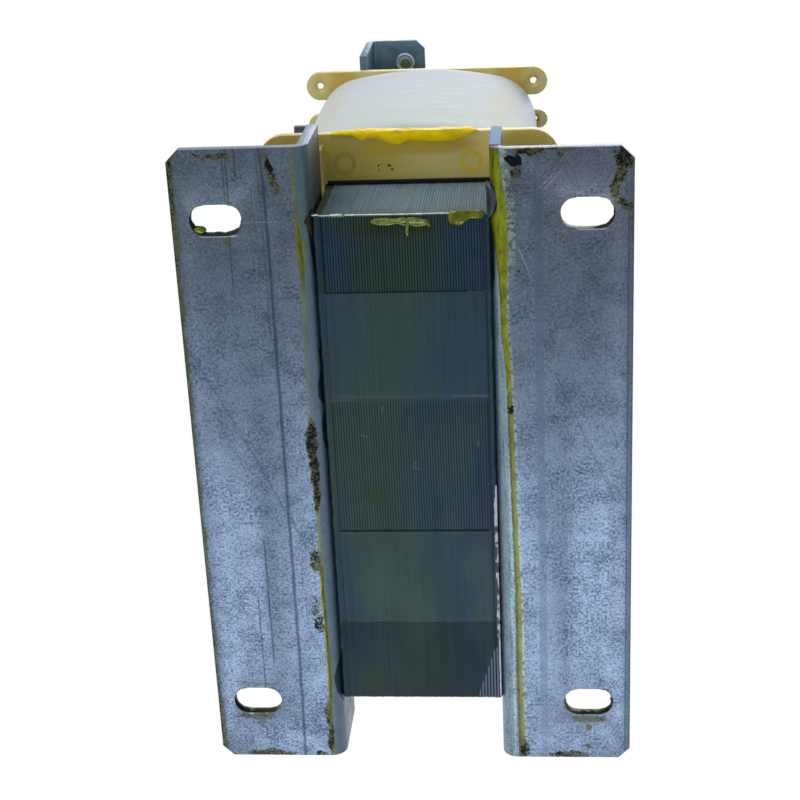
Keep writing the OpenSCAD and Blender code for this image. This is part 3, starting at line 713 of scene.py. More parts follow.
def tape_finish(name):
    """White tape: fine fibres, a soft grey cast, painted warm and cool reflections, and a little varnish at
    the rims.
    """
    coil = settings().coil
    f = Finish(name)
    p = f.place()
    x, _, z = f.axes(p)
    low, high = span("tape_front", 2)
    cloud = f.noise(p, 9, 4)
    fibre = f.noise(f.stretched(p, (1, 1, 0.2)), 0.5, 4, 0.6)
    weave = f.noise(f.stretched(p, (0.5, 0.5, 1.2)), 1.2, 4)
    crease = f.noise(f.stretched(p, (0.4, 0.4, 1)), 1.6, 5, 0.7)
    soaked = f.noise(f.moved(p, (9, 1, 5)), 7, 4).above(0.56, 0.16)
    # The shoulders are painted warmer, and the flanks and the upper half a cool grey, as painted reflections
    painted_warm_shoulders = (abs(x) + (cloud - 0.5) * 7).between(15.5, 21.5, 4)
    rims = (z + cloud * 14).below(low + 26, 20) * 0.6 + z.above(high - 5, 6) * 0.4
    colour = f.coats(f.mix(cloud, scaled(coil.colour, 0.92), scaled(coil.colour, 1.06)),
                     (crease.above(0.60, 0.1) * 0.06, srgb(190, 198, 200)),
                     (crease.below(0.40, 0.1) * 0.15, srgb(236, 238, 232)),
                     (painted_warm_shoulders * 0.45, srgb(212, 200, 162)),
                     (abs(x).above(21, 2.5) * 0.5, srgb(176, 186, 206)),
                     ((z + cloud * 16).above(high - 6, 20) * 0.3, srgb(190, 200, 224)),
                     (rims * 0.5, srgb(208, 218, 200)),
                     (soaked * rims * 0.4, srgb(214, 208, 164)))
    bump = f.bump(fibre * 0.4 + weave * 0.1 + crease * 0.3, 0.3, 0.08)
    return f.surface({"Base Color": colour, "Roughness": 0.6, "Normal": bump, "Sheen Weight": 0.15})


def varnish_finish(name, colour, clear, gloss):
    """Dried varnish: glossy, uneven in depth, with specks of dirt in it."""
    f = Finish(name)
    p = f.place()
    deep = f.noise(f.stretched(p, (1, 0.3, 1)), 1.1, 4)
    grit = f.noise(p, 0.7, 3).above(0.64, 0.06)
    shade = f.mix(deep.above(0.5, 0.3), scaled(colour, 0.55), scaled(colour, 1.2))
    shade = f.mix(grit * 0.4, shade, scaled(colour, 0.25))
    bump = f.bump(f.noise(p, 0.9, 3), 0.25, 0.2)
    fixed = {"Metallic": 0.5, "Coat Weight": clear, "Coat Roughness": 0.08, "Specular IOR Level": 0.2}
    rough = f.shade(deep, gloss, gloss * 2)
    return f.surface({"Base Color": shade, "Roughness": rough, "Normal": bump, **fixed})


def paste_finish(name):
    """Locking paste: an opaque yellow that glows a little as painted light, darker in patches."""
    paste = settings().varnish.paste
    f = Finish(name)
    p = f.place()
    thick = f.noise(p, 3, 4, 0.6)
    lumps = f.noise(f.moved(p, (4, 4, 1)), 1.1, 4, 0.6)
    shade = f.mix(thick.above(0.45, 0.3), scaled(paste, 0.72), paste)
    bump = f.bump(lumps, 0.5, 0.25)
    # The faint glow is painted light, to brighten the paste in the shade under the flange
    return f.surface({"Base Color": shade, "Roughness": f.shade(thick, 0.34, 0.5), "Normal": bump,
                      "Emission Color": shade, "Emission Strength": 0.2, "Specular IOR Level": 0.15})


def plated(name, colour, metallic, rough):
    """Plated or plain metal of a small part, with fine turning marks and dull patches."""
    f = Finish(name)
    p = f.place()
    dull = f.noise(p, 2.5, 4, 0.6)
    fine = f.noise(p, 0.35, 3)
    shade = f.mix(dull, scaled(colour, 0.62), scaled(colour, 1.1))
    bump = f.bump(fine, 0.2, 0.02)
    gloss = f.shade(dull, rough * 1.5, rough * 0.8)
    return f.surface({"Base Color": shade, "Metallic": metallic, "Roughness": gloss, "Normal": bump})


def brass_finish(name):
    """Brass, with a pale rim of painted highlight round old varnish on the end that looks out of the collar.
    """
    f = Finish(name)
    p = f.place()
    x, y, z = f.axes(p)
    dull = f.noise(p, 2.5, 4, 0.6)
    below = z.below(span("terminal_shelf", 2)[1] + 0.6, 0.3)
    hub = [sum(span("earth_screw", axis)) / 2 for axis in (0, 1)]
    # A pale bluish rim round the old varnish, set off to one side, is a painted highlight
    inner = f.spot(x - 0.15, y - 0.3, hub, (1.25, 1.2), 0.35)
    old = f.mix(dull, srgb(92, 104, 72), srgb(120, 130, 92))
    brass = f.mix(dull, srgb(170, 146, 92), srgb(212, 190, 132))
    shade = f.mix(below, brass, f.mix(inner, srgb(196, 214, 232), old))
    bump = f.bump(f.noise(p, 0.35, 3), 0.2, 0.02)
    return f.surface({"Base Color": shade, "Metallic": 0.9 - below * 0.7, "Roughness": 0.38, "Normal": bump})


def plain_plastic(name, colour, rough):
    """Moulded plastic with a fine spark-eroded grain and dust in places."""
    f = Finish(name)
    p = f.place()
    grain = f.noise(p, 0.25, 3)
    dust = f.noise(p, 6, 4, 0.6).above(0.58, 0.25)
    shade = f.mix(dust * 0.3, colour, scaled(colour, 1.9))
    bump = f.bump(grain, 0.25, 0.03)
    return f.surface({"Base Color": shade, "Roughness": f.shade(dust, rough, rough * 1.3), "Normal": bump})


def board_finish(name):
    """Brown pressed board of the gap pads, with fibres."""
    f = Finish(name)
    p = f.place()
    fibre = f.noise(f.stretched(p, (0.4, 1, 3)), 0.8, 5, 0.7)
    shade = f.mix(fibre, srgb(150, 118, 78), srgb(198, 170, 122))
    return f.surface({"Base Color": shade, "Roughness": 0.75, "Normal": f.bump(fibre, 0.3, 0.05)})


def wire_finish(name):
    """Layers of enamelled wire, under the tape, with painted shade on each turn."""
    f = Finish(name)
    _, _, z = f.axes(f.place())
    # Each turn is painted darker on one half and lighter on the other, as painted shade of the round wire
    turns = (z * (TURN / WIRE_PITCH)).math("SINE")
    shade = f.mix(turns * 0.5 + 0.5, srgb(150, 84, 46), srgb(208, 142, 94))
    bump = f.bump(turns, 0.5, 0.3)
    return f.surface({"Base Color": shade, "Metallic": 0.8, "Roughness": 0.3, "Normal": bump})


def paper_finish(name):
    """Insulating paper: pale, fibrous, speckled with dark varnish."""
    f = Finish(name)
    p = f.place()
    fibre = f.noise(f.stretched(p, (1, 0.2, 1)), 0.7, 4, 0.7)
    torn = f.noise(f.stretched(p, (1, 0.45, 1)), 1.2, 4, 0.65)
    torn = torn.above(0.50, 0.06) * f.axes(p)[1].between(11, 36, 3)
    shade = f.mix(torn, srgb(196, 200, 206), srgb(30, 38, 34))
    return f.surface({"Base Color": shade, "Roughness": 0.6, "Normal": f.bump(fibre, 0.3, 0.05)})


FINISHES = {
    "galvanised_feet": feet_finish,
    "galvanised_steel": galvanised,
    "core_sheet": core_finish,
    "pad_board": board_finish,
    "bobbin_plastic": mould_finish,
    "winding_copper": wire_finish,
    "coil_tape": tape_finish,
    "screw_brass": brass_finish,
    "paper": paper_finish,
    "yellow_paste": paste_finish,
    "lead_sleeve": lambda name: plain_plastic(name, (0.030, 0.033, 0.037), 0.45),
    "strip_plastic": lambda name: plain_plastic(name, (0.050, 0.055, 0.060), 0.5),
    # The slip's dark slate colour also paints the shade at the core's near end
    "insulation_slip": lambda name: plain_plastic(name, srgb(24, 40, 54), 0.35),
    "fastener_steel": lambda name: plated(name, (0.62, 0.63, 0.64), 0.9, 0.32),
    "bright_steel": lambda name: plated(name, srgb(206, 222, 212), 0.5, 0.3),
    "tab_steel": lambda name: plated(name, srgb(94, 124, 140), 0.6, 0.4),
    "collar_steel": lambda name: plated(name, srgb(190, 214, 234), 0.85, 0.22),
    "varnish_drop": lambda name: varnish_finish(name, srgb(98, 104, 0), 0.15, 0.1),
    "varnish_olive": lambda name: varnish_finish(name, settings().varnish.olive, 0.1, 0.25),
    "varnish_dark": lambda name: varnish_finish(name, srgb(44, 70, 76), 0.0, 0.3),
    "varnish_thin": lambda name: varnish_finish(name, srgb(78, 84, 14), 0.0, 0.3),
    "varnish_slot": lambda name: varnish_finish(name, srgb(34, 38, 18), 0.0, 0.3),
    "varnish_pale": lambda name: varnish_finish(name, srgb(90, 106, 42), 0.25, 0.14),
}
made_finishes = {}


def finish(name):
    """The material of a name, made when it is first asked for."""
    if name not in made_finishes:
        made_finishes[name] = FINISHES[name](name)
    return made_finishes[name]


# ---------------------------------------------------------------- making pieces

def add_piece(name, bm, look, slot, replaces=(), smooth=35):
    """Turns a bmesh in millimetres into a piece that rides on the body."""
    bmesh.ops.scale(bm, vec=(MM, MM, MM), verts=bm.verts)
    bmesh.ops.recalc_face_normals(bm, faces=bm.faces)
    limit = math.radians(smooth)
    for face in bm.faces:
        face.smooth = True
    for edge in bm.edges:
        edge.smooth = len(edge.link_faces) == 2 and edge.calc_face_angle(0) < limit
    mesh = bpy.data.meshes.new(name)
    bm.to_mesh(mesh)
    bm.free()
    mesh.materials.append(finish(look))
    piece = bpy.data.objects.new(name, mesh)
    bpy.context.scene.collection.objects.link(piece)
    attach(piece, "root")
    if replaces:
        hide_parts(*replaces)
    return piece


def keep_node(node, look):
    """Gives a CAD node its finish."""
    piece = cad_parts[node]
    piece.data.materials.clear()
    piece.data.materials.append(finish(look))


def new_piece(name, look, slot, *shapes, replaces=(), smooth=60):
    """A piece built of shapes, each given as the function that adds it to a mesh and its arguments."""
    bm = bmesh.new()
    for shape, *given in shapes:
        shape(bm, *given)
    return add_piece(name, bm, look, slot, replaces, smooth)


def dress_node(node, look, slot, edge, spare=lambda place: False):
    """A copy of a CAD node with small round edges, apart from those to be spared, which stands for it."""
    bm = bmesh.new()
    bm.from_mesh(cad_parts[node].data)
    bmesh.ops.scale(bm, vec=(1 / MM,) * 3, verts=bm.verts)
    bmesh.ops.remove_doubles(bm, verts=bm.verts, dist=WELD)
    level, sharp_turn = math.radians(0.6), math.radians(40)
    bmesh.ops.dissolve_limit(bm, angle_limit=level, verts=bm.verts, edges=bm.edges)
    sharp = [e for e in bm.edges if len(e.link_faces) == 2 and e.calc_face_angle(0) > sharp_turn
             and not spare(e.verts[0].co)]
    bmesh.ops.bevel(bm, geom=sharp, offset=edge, offset_type="OFFSET", segments=2, profile=0.5,
                    affect="EDGES", clamp_overlap=True)
    bmesh.ops.triangulate(bm, faces=[face for face in bm.faces if len(face.verts) > 4])
    return add_piece(f"{node}_dressed", bm, look, slot, (node,))


def ripple(point, size, seed=0):
    """Smooth noise from about -1 to 1 at a place in millimetres."""
    return noise.noise(Vector(point) / size + Vector((seed * 7.3, seed * 3.1, seed * 5.7)))


def spread(start, end, count):
    """Even places from the start to the end, with both of them."""
    return [start + (end - start) * k / count for k in range(count + 1)]


def headings(count):
    """Level directions all the way round."""
    angles = [TURN * k / count for k in range(count)]
    return [Vector((math.cos(angle), math.sin(angle), 0)) for angle in angles]


def grid_faces(bm, rows, ends=False):
    """Skin between closed rings of points, with the two ends closed on request."""
    rings = [[bm.verts.new(point) for point in row] for row in rows]
    for low, high in zip(rings, rings[1:]):
        for i in range(len(low)):
            j = (i + 1) % len(low)
            bm.faces.new((low[i], low[j], high[j], high[i]))
    if ends:
        bm.faces.new(rings[0])
        bm.faces.new(list(reversed(rings[-1])))
    return rings


def smooth_line(points, steps=5, closed=False):
    """Points on a smooth curve through the given ones."""
    count = len(points)
    vectors = [Vector(point) for point in points]
    result = []
    for i in range(count if closed else count - 1):
        if closed:
            a, b, c, d = (vectors[(i + k - 1) % count] for k in range(4))
        else:
            a, b, c, d = (vectors[max(0, min(count - 1, i + k - 1))] for k in range(4))
        for k in range(steps):
            t = k / steps
            bowed = (a * 2 - b * 5 + c * 4 - d) * t ** 2
            result.append((b * 2 + (c - a) * t + bowed + (b * 3 - a - c * 3 + d) * t ** 3) / 2)
    if not closed:
        result.append(vectors[-1])
    return result


def crust(bm, rows, sink, closed=False):
    """A raised skin that reaches in by the sink: each row lists (place, direction, height) across it."""
    rings = []
    for row in rows:
        top = [place + away * max(0.01, height) for place, away, height in row]
        under = [place - away * sink for place, away, height in reversed(row)]
        rings.append(top + under)
    if closed:
        rings.append(rings[0])
    grid_faces(bm, rings, ends=not closed)
    if closed:
        bmesh.ops.remove_doubles(bm, verts=bm.verts, dist=WELD)


def blob(bm, outline, plane, height, seed):
    """A drop of varnish with a smooth outline, hanging from a level face."""
    border = smooth_line([(x, y, plane) for x, y in outline], 3, closed=True)
    centre = sum(border, Vector()) / len(border)
    rows = [[centre + (point - centre) * 0.96 - DOWN * SINK for point in border]]
    for step in range(7):
        t = step / 7
        rise = height * math.sqrt(1 - (1 - t) ** 2)
        ring = [centre.lerp(point, 1 - t) for point in border]
        rows.append([point + DOWN * rise * (1 + 0.25 * ripple(point, 1.5, seed)) for point in ring])
    grid_faces(bm, rows, ends=True)


def stroke(bm, path, plane, width, height, seed):
    """A brushed line of varnish along a path of (x, y), hanging from a level face."""
    line = smooth_line([(x, y, plane) for x, y in path], 6)
    rows = []
    for i, point in enumerate(line):
        ahead = (line[min(i + 1, len(line) - 1)] - line[max(i - 1, 0)]).normalized()
        side = ahead.cross(DOWN)
        t = i / (len(line) - 1)
        taper = min(1, 5 * t + 0.15, 5 * (1 - t) + 0.15)
        half = width / 2 * (0.8 + 0.5 * ripple(point, 1.6, seed)) * taper ** 0.5
        row = []
        for k in range(7):
            s = k / 3 - 1
            rise = height * taper * (1 - s * s) ** 0.5 * (1 + 0.4 * ripple(point, 0.9, seed + 1))
            row.append((point + side * (half * s), DOWN, rise))
        rows.append(row)
    crust(bm, rows, SINK)


def lump(bm, centre, radii, seed):
    """An uneven bead."""
    made = bmesh.ops.create_icosphere(bm, subdivisions=3, radius=1)
    for vert in made["verts"]:
        swell = 1 + 0.28 * ripple(vert.co, 0.7, seed)
        vert.co = Vector(centre) + Vector([c * r * swell for c, r in zip(vert.co, radii)])


# ---------------------------------------------------------------- feet

def bend_place(side, x, y):
    """The place on the round bend of a foot at a distance from the middle, and where it faces."""
    hub = span("foot_right", 0)[0] + BEND_RADIUS
    lean = math.asin(max(0, min(1, (hub - abs(x)) / BEND_RADIUS)))
    facing = Vector((-side * math.sin(lean), 0, -math.cos(lean)))
    return Vector((side * hub, y, BEND_RADIUS)) + facing * (BEND_RADIUS - 0.01), facing


def bend_bead(bm, side, stations, seed):
    """Varnish along a bend: each station is (y, inner x, outer x, height)."""
    places = smooth_line([(y, low, high) for y, low, high, _ in stations], 8)
    heights = smooth_line([(rise, 0, 0) for *_, rise in stations], 8)
    rows = []
    for (y, low, high), (rise, *_) in zip(places, heights):
        wander = 0.22 * ripple((0, y, 0), 1.7, seed)
        row = []
        for t in spread(0, 1, 8):
            edge = wander if t > 0.5 else 0.15 * ripple((9, y, 0), 1.3, seed)
            place, away = bend_place(side, low + (high - low) * t + edge, y)
            swell = rise * (4 * t * (1 - t)) ** 0.55 * (1 + 0.3 * ripple((t * 2, y, 0), 2.2, seed + 2))
            swell = min(swell, max(0.01, (place.z - 0.03) / max(0.02, -away.z)))
            row.append((place, away, swell))
        rows.append(row)
    crust(bm, rows, SINK)


def narrowed(stations, inset, rise):
    """The stations of a bead inside a stain's borders, as high as rise."""
    return [(y, low + inset, high - inset, rise) for y, low, high in stations]


# How high the right bend's varnish stands, from its near end on
RIGHT_HEIGHTS = (0.05, 0.3, 0.45, 0.5, 0.45, 0.45, 0.45, 0.4, 0.35, 0.3, 0.3, 0.25, 0.15)

# Dark varnish over the left bend at the core's near end: y, inner x, outer x, height
JOINT_SMEAR = ((-51.2, 15.9, 16.3, 0.1), (-50.2, 15.7, 16.9, 0.25), (-49.2, 15.7, 17.3, 0.3),
               (-48.2, 15.7, 16.7, 0.25), (-46, 15.8, 16.1, 0.1))

# The free edge of the slip of insulation: y and x
SLIP_EDGE = ((-55.6, 15.75), (-55, 16.2), (-54.4, 16.8), (-53.5, 17.15), (-52.4, 17.2), (-51.2, 17.0),
             (-50, 16.6), (-48.8, 16.05), (-48.1, 15.8))


def slip(bm):
    """A slip of grey insulation that stands out between the core's near end and the right foot, dark with
    painted shade.
    """
    rows = []
    for y, reach, _ in smooth_line([(y, reach, 0) for y, reach in SLIP_EDGE], 4):
        place, facing = bend_place(1, reach, y)
        outer = place + facing * 0.35
        inner = Vector((15.3, y + 0.8, 2.0))
        row = []
        for t in spread(0, 1, 6):
            row.append((inner.lerp(outer, t) + facing * (0.25 * math.sin(math.pi * t)), facing, 0.04))
        rows.append(row)
    crust(bm, rows, 0.06)


def joint_varnish(bm, side):
    """Dark varnish and dust that fill the gap between the core and a foot."""
    rows = []
    for y in spread(*span("core_stack", 1), 120):
        rough = 0.25 * ripple((side * 3, y, 0), 1.6, 4) + 0.15 * ripple((side * 3, y, 0), 0.6, 5)
        core = Vector((side * 15.42, y, 1.42 + 0.1 * rough))
        foot, _ = bend_place(side, 15.98, y)
        row = []
        for t in spread(0, 1, 4):
            hang = (0.3 + rough) * math.sin(math.pi * t)
            row.append((core.lerp(foot, t), DOWN, max(0.02, hang)))
        rows.append(row)
    crust(bm, rows, 0.2)


# What lines each slot: its middle, and how thick from its right end round by its rear edge
SLOTS = (((-33, -50), (0.4, 0.45, 0.5, 0.5, 0.45, 0.55, 0.25, 0.1, 0.04, 0.03, 0.05, 0.25)),
         ((33, -50), (0.25, 0.3, 0.25, 0.1, 0.05, 0.12, 0.12, 0.06, 0.05, 0.05, 0.1, 0.2)),
         ((-33, 50), (0.12, 0.2, 0.15, 0.2, 0.3, 0.35, 0.3, 0.15, 0.1, 0.06, 0.06, 0.08)),
         ((33, 50), (0.5, 0.3, 0.15, 0.4, 0.15, 0.35, 0.3, 0.12, 0.08, 0.3, 0.1, 0.25)))

# Drops of varnish in the slots: middle and radii
SLOT_DRIPS = (((-36.4, -48.1, 0.9), (1.7, 0.8, 0.75)), ((33.4, 47.2, 1.1), (1.1, 0.3, 0.6)),
              ((-34.6, 52.8, 1.0), (1.0, 0.3, 0.6)))


def slot_wall(middle, count=96):
    """Places round a slot's wall, each with where the wall faces and its share of the round."""
    straight, reach = 1.9, 2.92
    wall = []
    for k, outward in enumerate(headings(count)):
        hub = Vector((middle[0] + max(-straight, min(straight, outward.x * 4)), middle[1], 0))
        if abs(outward.x) > straight / 4:
            place = hub + outward * reach
        else:
            place = Vector((hub.x, middle[1] + math.copysign(reach, outward.y), 0))
        wall.append((place, -outward, k / count))
    return wall


def slot_lining(bm, middle, thickness, seed):
    """Dried varnish that hangs on the walls of a slot, thickest where it ran together."""
    rows = []
    for place, away, share in slot_wall(middle):
        t = share * len(thickness)
        k = int(t)
        depth = thickness[k] + (thickness[(k + 1) % len(thickness)] - thickness[k]) * (t - k)
        row = []
        for rise in spread(0, 1, 6):
            where = place + Vector((0, 0, 0.12 + 1.7 * rise))
            lean = math.sin(math.pi * (0.1 + 0.8 * rise))
            rough = 1 + 0.6 * ripple(where, 1.1, seed) + 0.3 * ripple(where, 0.4, seed)
            row.append((where, away, depth * lean * max(0.15, rough)))
        rows.append(row)
    crust(bm, rows, 0.1, closed=True)


class REACTOR_OT_feet(bpy.types.Operator):
    """Makes the two galvanised feet, with dried varnish along their bends and in their slots"""
    bl_idname = "reactor.feet"
    bl_label = "Feet"

    def execute(self, context):
        for node in ("foot_left", "foot_right"):
            dress_node(node, "galvanised_feet", "galvanised_steel", settings().steel.edge)
        right = [(y, low, min(high, 18.85), rise)
                 for (y, low, high), rise in zip(RIGHT_VARNISH[1:], RIGHT_HEIGHTS)]
        linings = [(slot_lining, middle, thickness, seed) for seed, (middle, thickness) in enumerate(SLOTS)]
        drips = [(lump, centre, radii, seed) for seed, (centre, radii) in enumerate(SLOT_DRIPS)]
        zinc = "galvanised_steel"
        new_piece("bend_varnish", "varnish_olive", zinc, (bend_bead, 1, right, 3))
        new_piece("joint_smear", "varnish_slot", zinc, (bend_bead, -1, JOINT_SMEAR, 8))
        new_piece("bend_varnish_thin", "varnish_thin", zinc,
                  (bend_bead, -1, narrowed(LEFT_VARNISH[2:5], 0.45, 0.1), 5),
                  (bend_bead, -1, narrowed(LEFT_VARNISH[9:13], 0.25, 0.1), 6))
        new_piece("joint_varnish", "varnish_dark", zinc, (joint_varnish, 1), (joint_varnish, -1))
        new_piece("insulation_slip", "insulation_slip", "pad_board", (slip,))
        new_piece("slot_varnish", "varnish_slot", zinc, *linings)
        new_piece("slot_drips", "varnish_drop", zinc, *drips)
        return {"FINISHED"}


# ---------------------------------------------------------------- core

def sheet_pack(bm, outlines, x0, pitch, gap=0.03):
    """Stacks thin solids along X, one for each outline, with hairline gaps."""
    for number, outline in enumerate(outlines):
        left = x0 + number * pitch + gap / 2
        rings = [[(x, y, z) for y, z in outline] for x in (left, left + pitch - gap)]
        grid_faces(bm, rings, ends=True)


# Bands across the underside: start, end, depth and how loose the sheets are
BANDS = ((-50, -35.5, 0.20, 0.14), (-35.5, -14.6, 0.12, 0.02), (-14.6, 12.8, 0.17, 0.05),
         (12.8, 32.8, 0.12, 0.02), (32.8, 50, 0.14, 0.03))


def core_outlines(rng, count):
    """E-shaped sheets: five bands under the yoke, three limbs with two windows between them."""
    core = settings().core
    (y0, y1), (z0, z1) = span("core_stack", 1), span("core_stack", 2)
    limb = (y1 - y0) / 5
    yoke = z0 + limb
    outlines = []
    for number in range(count):
        rim = number < 2 or number > count - 3
        trim = rng.uniform(0, core.stagger)
        points = []
        for start, end, depth, loose in BANDS:
            drop = z0 + (0.01 if rim else depth + rng.uniform(0, loose))
            points += [(max(start, y0 + trim), drop), (min(end, y1 - trim), drop)]
        top = z1 - rng.uniform(0, core.stagger)
        points.append((y1 - trim, top))
        for first, second in ((limb * 1.5, limb / 2), (-limb / 2, -limb * 1.5)):
            points += [(first, top), (first, yoke), (second, yoke), (second, top)]
        points.append((y0 + trim, top))
        outlines.append(points)
    return outlines


def yoke_outlines(rng, count):
    """Plain sheets of the top yoke, whose ends and tops differ a little."""
    core = settings().core
    (y0, y1), (z0, z1) = span("top_yoke", 1), span("top_yoke", 2)
    outlines = []
    for _ in range(count):
        trim = rng.uniform(0, core.stagger)
        top = z1 - rng.uniform(0, core.stagger)
        outlines.append([(y0 + trim, z0), (y1 - trim, z0), (y1 - trim, top), (y0 + trim, top)])
    return outlines


def varnish_film(bm, x0, x1, y0, y1, z, seed):
    """A skin of varnish that bridges the sheets of one band."""
    across, along = spread(x0, x1, 30), spread(y0, y1, max(8, int((y1 - y0) * 1.6)))
    rows = []
    for y in along:
        ragged_side = 0.10 * ripple((0, y, 0), 2.5, seed)
        row = []
        for x in across:
            aside = ragged_side if x in (across[0], across[-1]) else 0
            ahead = 0.12 * ripple((x, 0, 0), 2.5, seed + 1) if y in (along[0], along[-1]) else 0
            rise = 0.012 * ripple((x, y, 0), 6, seed) + 0.008 * ripple((x, y * 0.2, 0), 0.9, seed + 2)
            row.append((Vector((x + aside, y + ahead, z)), DOWN, 0.02 + rise))
        rows.append(row)
    crust(bm, rows, 0.1)


def ring_row(centre, reach, sides):
    """A ring of points across X, as far from its centre as reach says for each angle."""
    row = []
    for k in range(sides):
        angle = TURN * k / sides
        row.append(centre + Vector((0, math.cos(angle), math.sin(angle))) * reach(angle))
    return row


def burr(bm, path, width, seed):
    """A thin ragged rim of trimmed metal along a path in space."""
    rows = []
    for point in smooth_line(path, 10):
        size = width * (0.6 + 0.8 * abs(ripple(point, 0.8, seed)))
        centre = point + Vector((0, 0, 0.08 * ripple(point, 0.6, seed + 1)))
        rows.append(ring_row(centre, lambda angle, size=size: size, 6))
    grid_faces(bm, rows, ends=True)


def edge_paper(bm):
    """A strip of insulating paper between the core and the right foot, narrow beyond where it is torn."""
    torn = 36
    rows = []
    for y in spread(3.2, 49.4, 150):
        ragged = 0.13 * ripple((0, y, 0), 1.1, 4) + 0.09 * ripple((3, y, 0), 0.45, 6)
        taper = min(1, (y - 3) / 4)
        reach, rough = (0.3, 1) if y < torn else (0.08, 0.4)
        left = 15.62 - reach * taper + ragged * rough
        right = 15.85 + 0.05 * ripple((0, y, 5), 0.8, 7)
        z = 1.22 + 0.1 * ripple((0, y, 0), 3, 9)
        rows.append([(Vector((x, y, z)), DOWN, 0.05 * (1 - (k / 1.5 - 1) ** 2))
                     for k, x in enumerate(spread(left, right, 3))])
    crust(bm, rows, 0.2)


# Skins of varnish under the core: x and y from and to, how far above its lowest place, and seed
CORE_FILMS = ((-14.4, 14.8, -35.4, -14.7, 0.05, 1), (-14.4, 14.8, 12.85, 32.7, 0.05, 2),
              (-14.4, 14.6, 32.8, 49.8, 0.07, 3))

# Burrs along the near edge of the underside: places (their z from the core's lowest place), width
# and seed
CORE_BURRS = ((((-14.6, -50.1, 0.1), (-8, -50.15, 0.08), (0, -50.1, 0.1), (8, -50.15, 0.1),
                (14.6, -50.1, 0.1)), 0.13, 1),
              (((-15.9, -50.2, 0.05), (-15.2, -50.3, 0), (-14.7, -50.2, 0.05)), 0.2, 2),
              (((-12.5, -50.25, 0.05), (-11.4, -50.3, 0), (-10.4, -50.2, 0.05)), 0.18, 3))

# The outline of the drop of varnish at the near edge
CORE_DROP = ((8.4, -49.9), (8.6, -48.2), (10.3, -47.6), (12, -48.6), (13.4, -49.3), (14.7, -49.1),
             (14.8, -50.3), (13, -50.6), (10.1, -50.7), (9.2, -50.6))

# Brush strokes of varnish near it: path, how far above the core's lowest place, width, height, seed
CORE_STROKES = ((((-5.4, -48.8), (-2, -48.8), (1.4, -48.9), (5.0, -48.5)), 0.14, 1.3, 0.14, 9),
                (((-5.3, -49.0), (-3.4, -49.3), (-1, -49.1), (0.8, -49.4)), 0.14, 0.6, 0.22, 2),
                (((-5.2, -48.6), (-3, -48.3), (-0.6, -48.5), (0.9, -48.0)), 0.14, 0.6, 0.22, 5),
                (((1.6, -49.4), (3.0, -48.8), (4.6, -49.0)), 0.14, 0.7, 0.2, 7),
                (((1.4, -48.2), (3.2, -48.0), (4.8, -48.3), (4.9, -47.6)), 0.14, 0.6, 0.25, 8),
                (((1.0, -49.3), (1.2, -48.2), (1.0, -47.2), (1.1, -46)), 0.14, 0.9, 0.25, 3),
                (((-12.8, -50.1), (-11.6, -49.9), (-9.6, -50.1)), 0.12, 0.5, 0.15, 6))


class REACTOR_OT_core(bpy.types.Operator):
    """Stacks the sheets of the core and of the top yoke, one solid for each, with their varnish"""
    bl_idname = "reactor.core"
    bl_label = "Core"

    def execute(self, context):
        pitch = settings().core.sheet
        rng = random.Random(11)
        x0, x1 = span("core_stack", 0)
        low = span("core_stack", 2)[0]
        count = round((x1 - x0) / pitch)
        sheet = "core_sheet"
        stacks = (("core_stack", core_outlines(rng, count)), ("top_yoke", yoke_outlines(rng, count)))
        for node, outlines in stacks:
            new_piece(f"{node}_sheets", sheet, sheet, (sheet_pack, outlines, x0, pitch),
                      replaces=(node,), smooth=20)
        films = [(varnish_film, *sides, low + lift, seed) for *sides, lift, seed in CORE_FILMS]
        new_piece("core_varnish_film", sheet, sheet, *films, smooth=50)
        burrs = [(burr, [(x, y, low + lift) for x, y, lift in path], width, seed)
                 for path, width, seed in CORE_BURRS]
        new_piece("core_burr", "bright_steel", sheet, *burrs, smooth=50)
        new_piece("core_varnish_drop", "varnish_drop", sheet, (blob, CORE_DROP, low + 0.14, 1.0, 4))
        strokes = [(stroke, path, low + lift, *shape) for path, lift, *shape in CORE_STROKES]
        new_piece("core_varnish_strokes", "varnish_pale", sheet, *strokes)
        new_piece("core_paper", "paper", sheet, (edge_paper,))
        for place in PLACES:
            keep_node(f"gap_pad_{place}", "pad_board")
        return {"FINISHED"}


# ---------------------------------------------------------------- bobbins and coils

# Where the locking paste ends on the lower flange's underside: x and y
PASTE_LINE = ((-14.6, -59.9), (-13.4, -59.7), (-10.3, -59.5), (-9.5, -59.1), (-8.2, -58.6),
              (-7.2, -59.1), (-4.6, -58.5), (-2.9, -57.8), (-1.6, -57.7), (-0.2, -58.2), (1.6, -58.4),
              (5.1, -58.1), (8.4, -58.15), (9.9, -58.7), (11.4, -59.3), (12.6, -59.7), (13.4, -59.9))


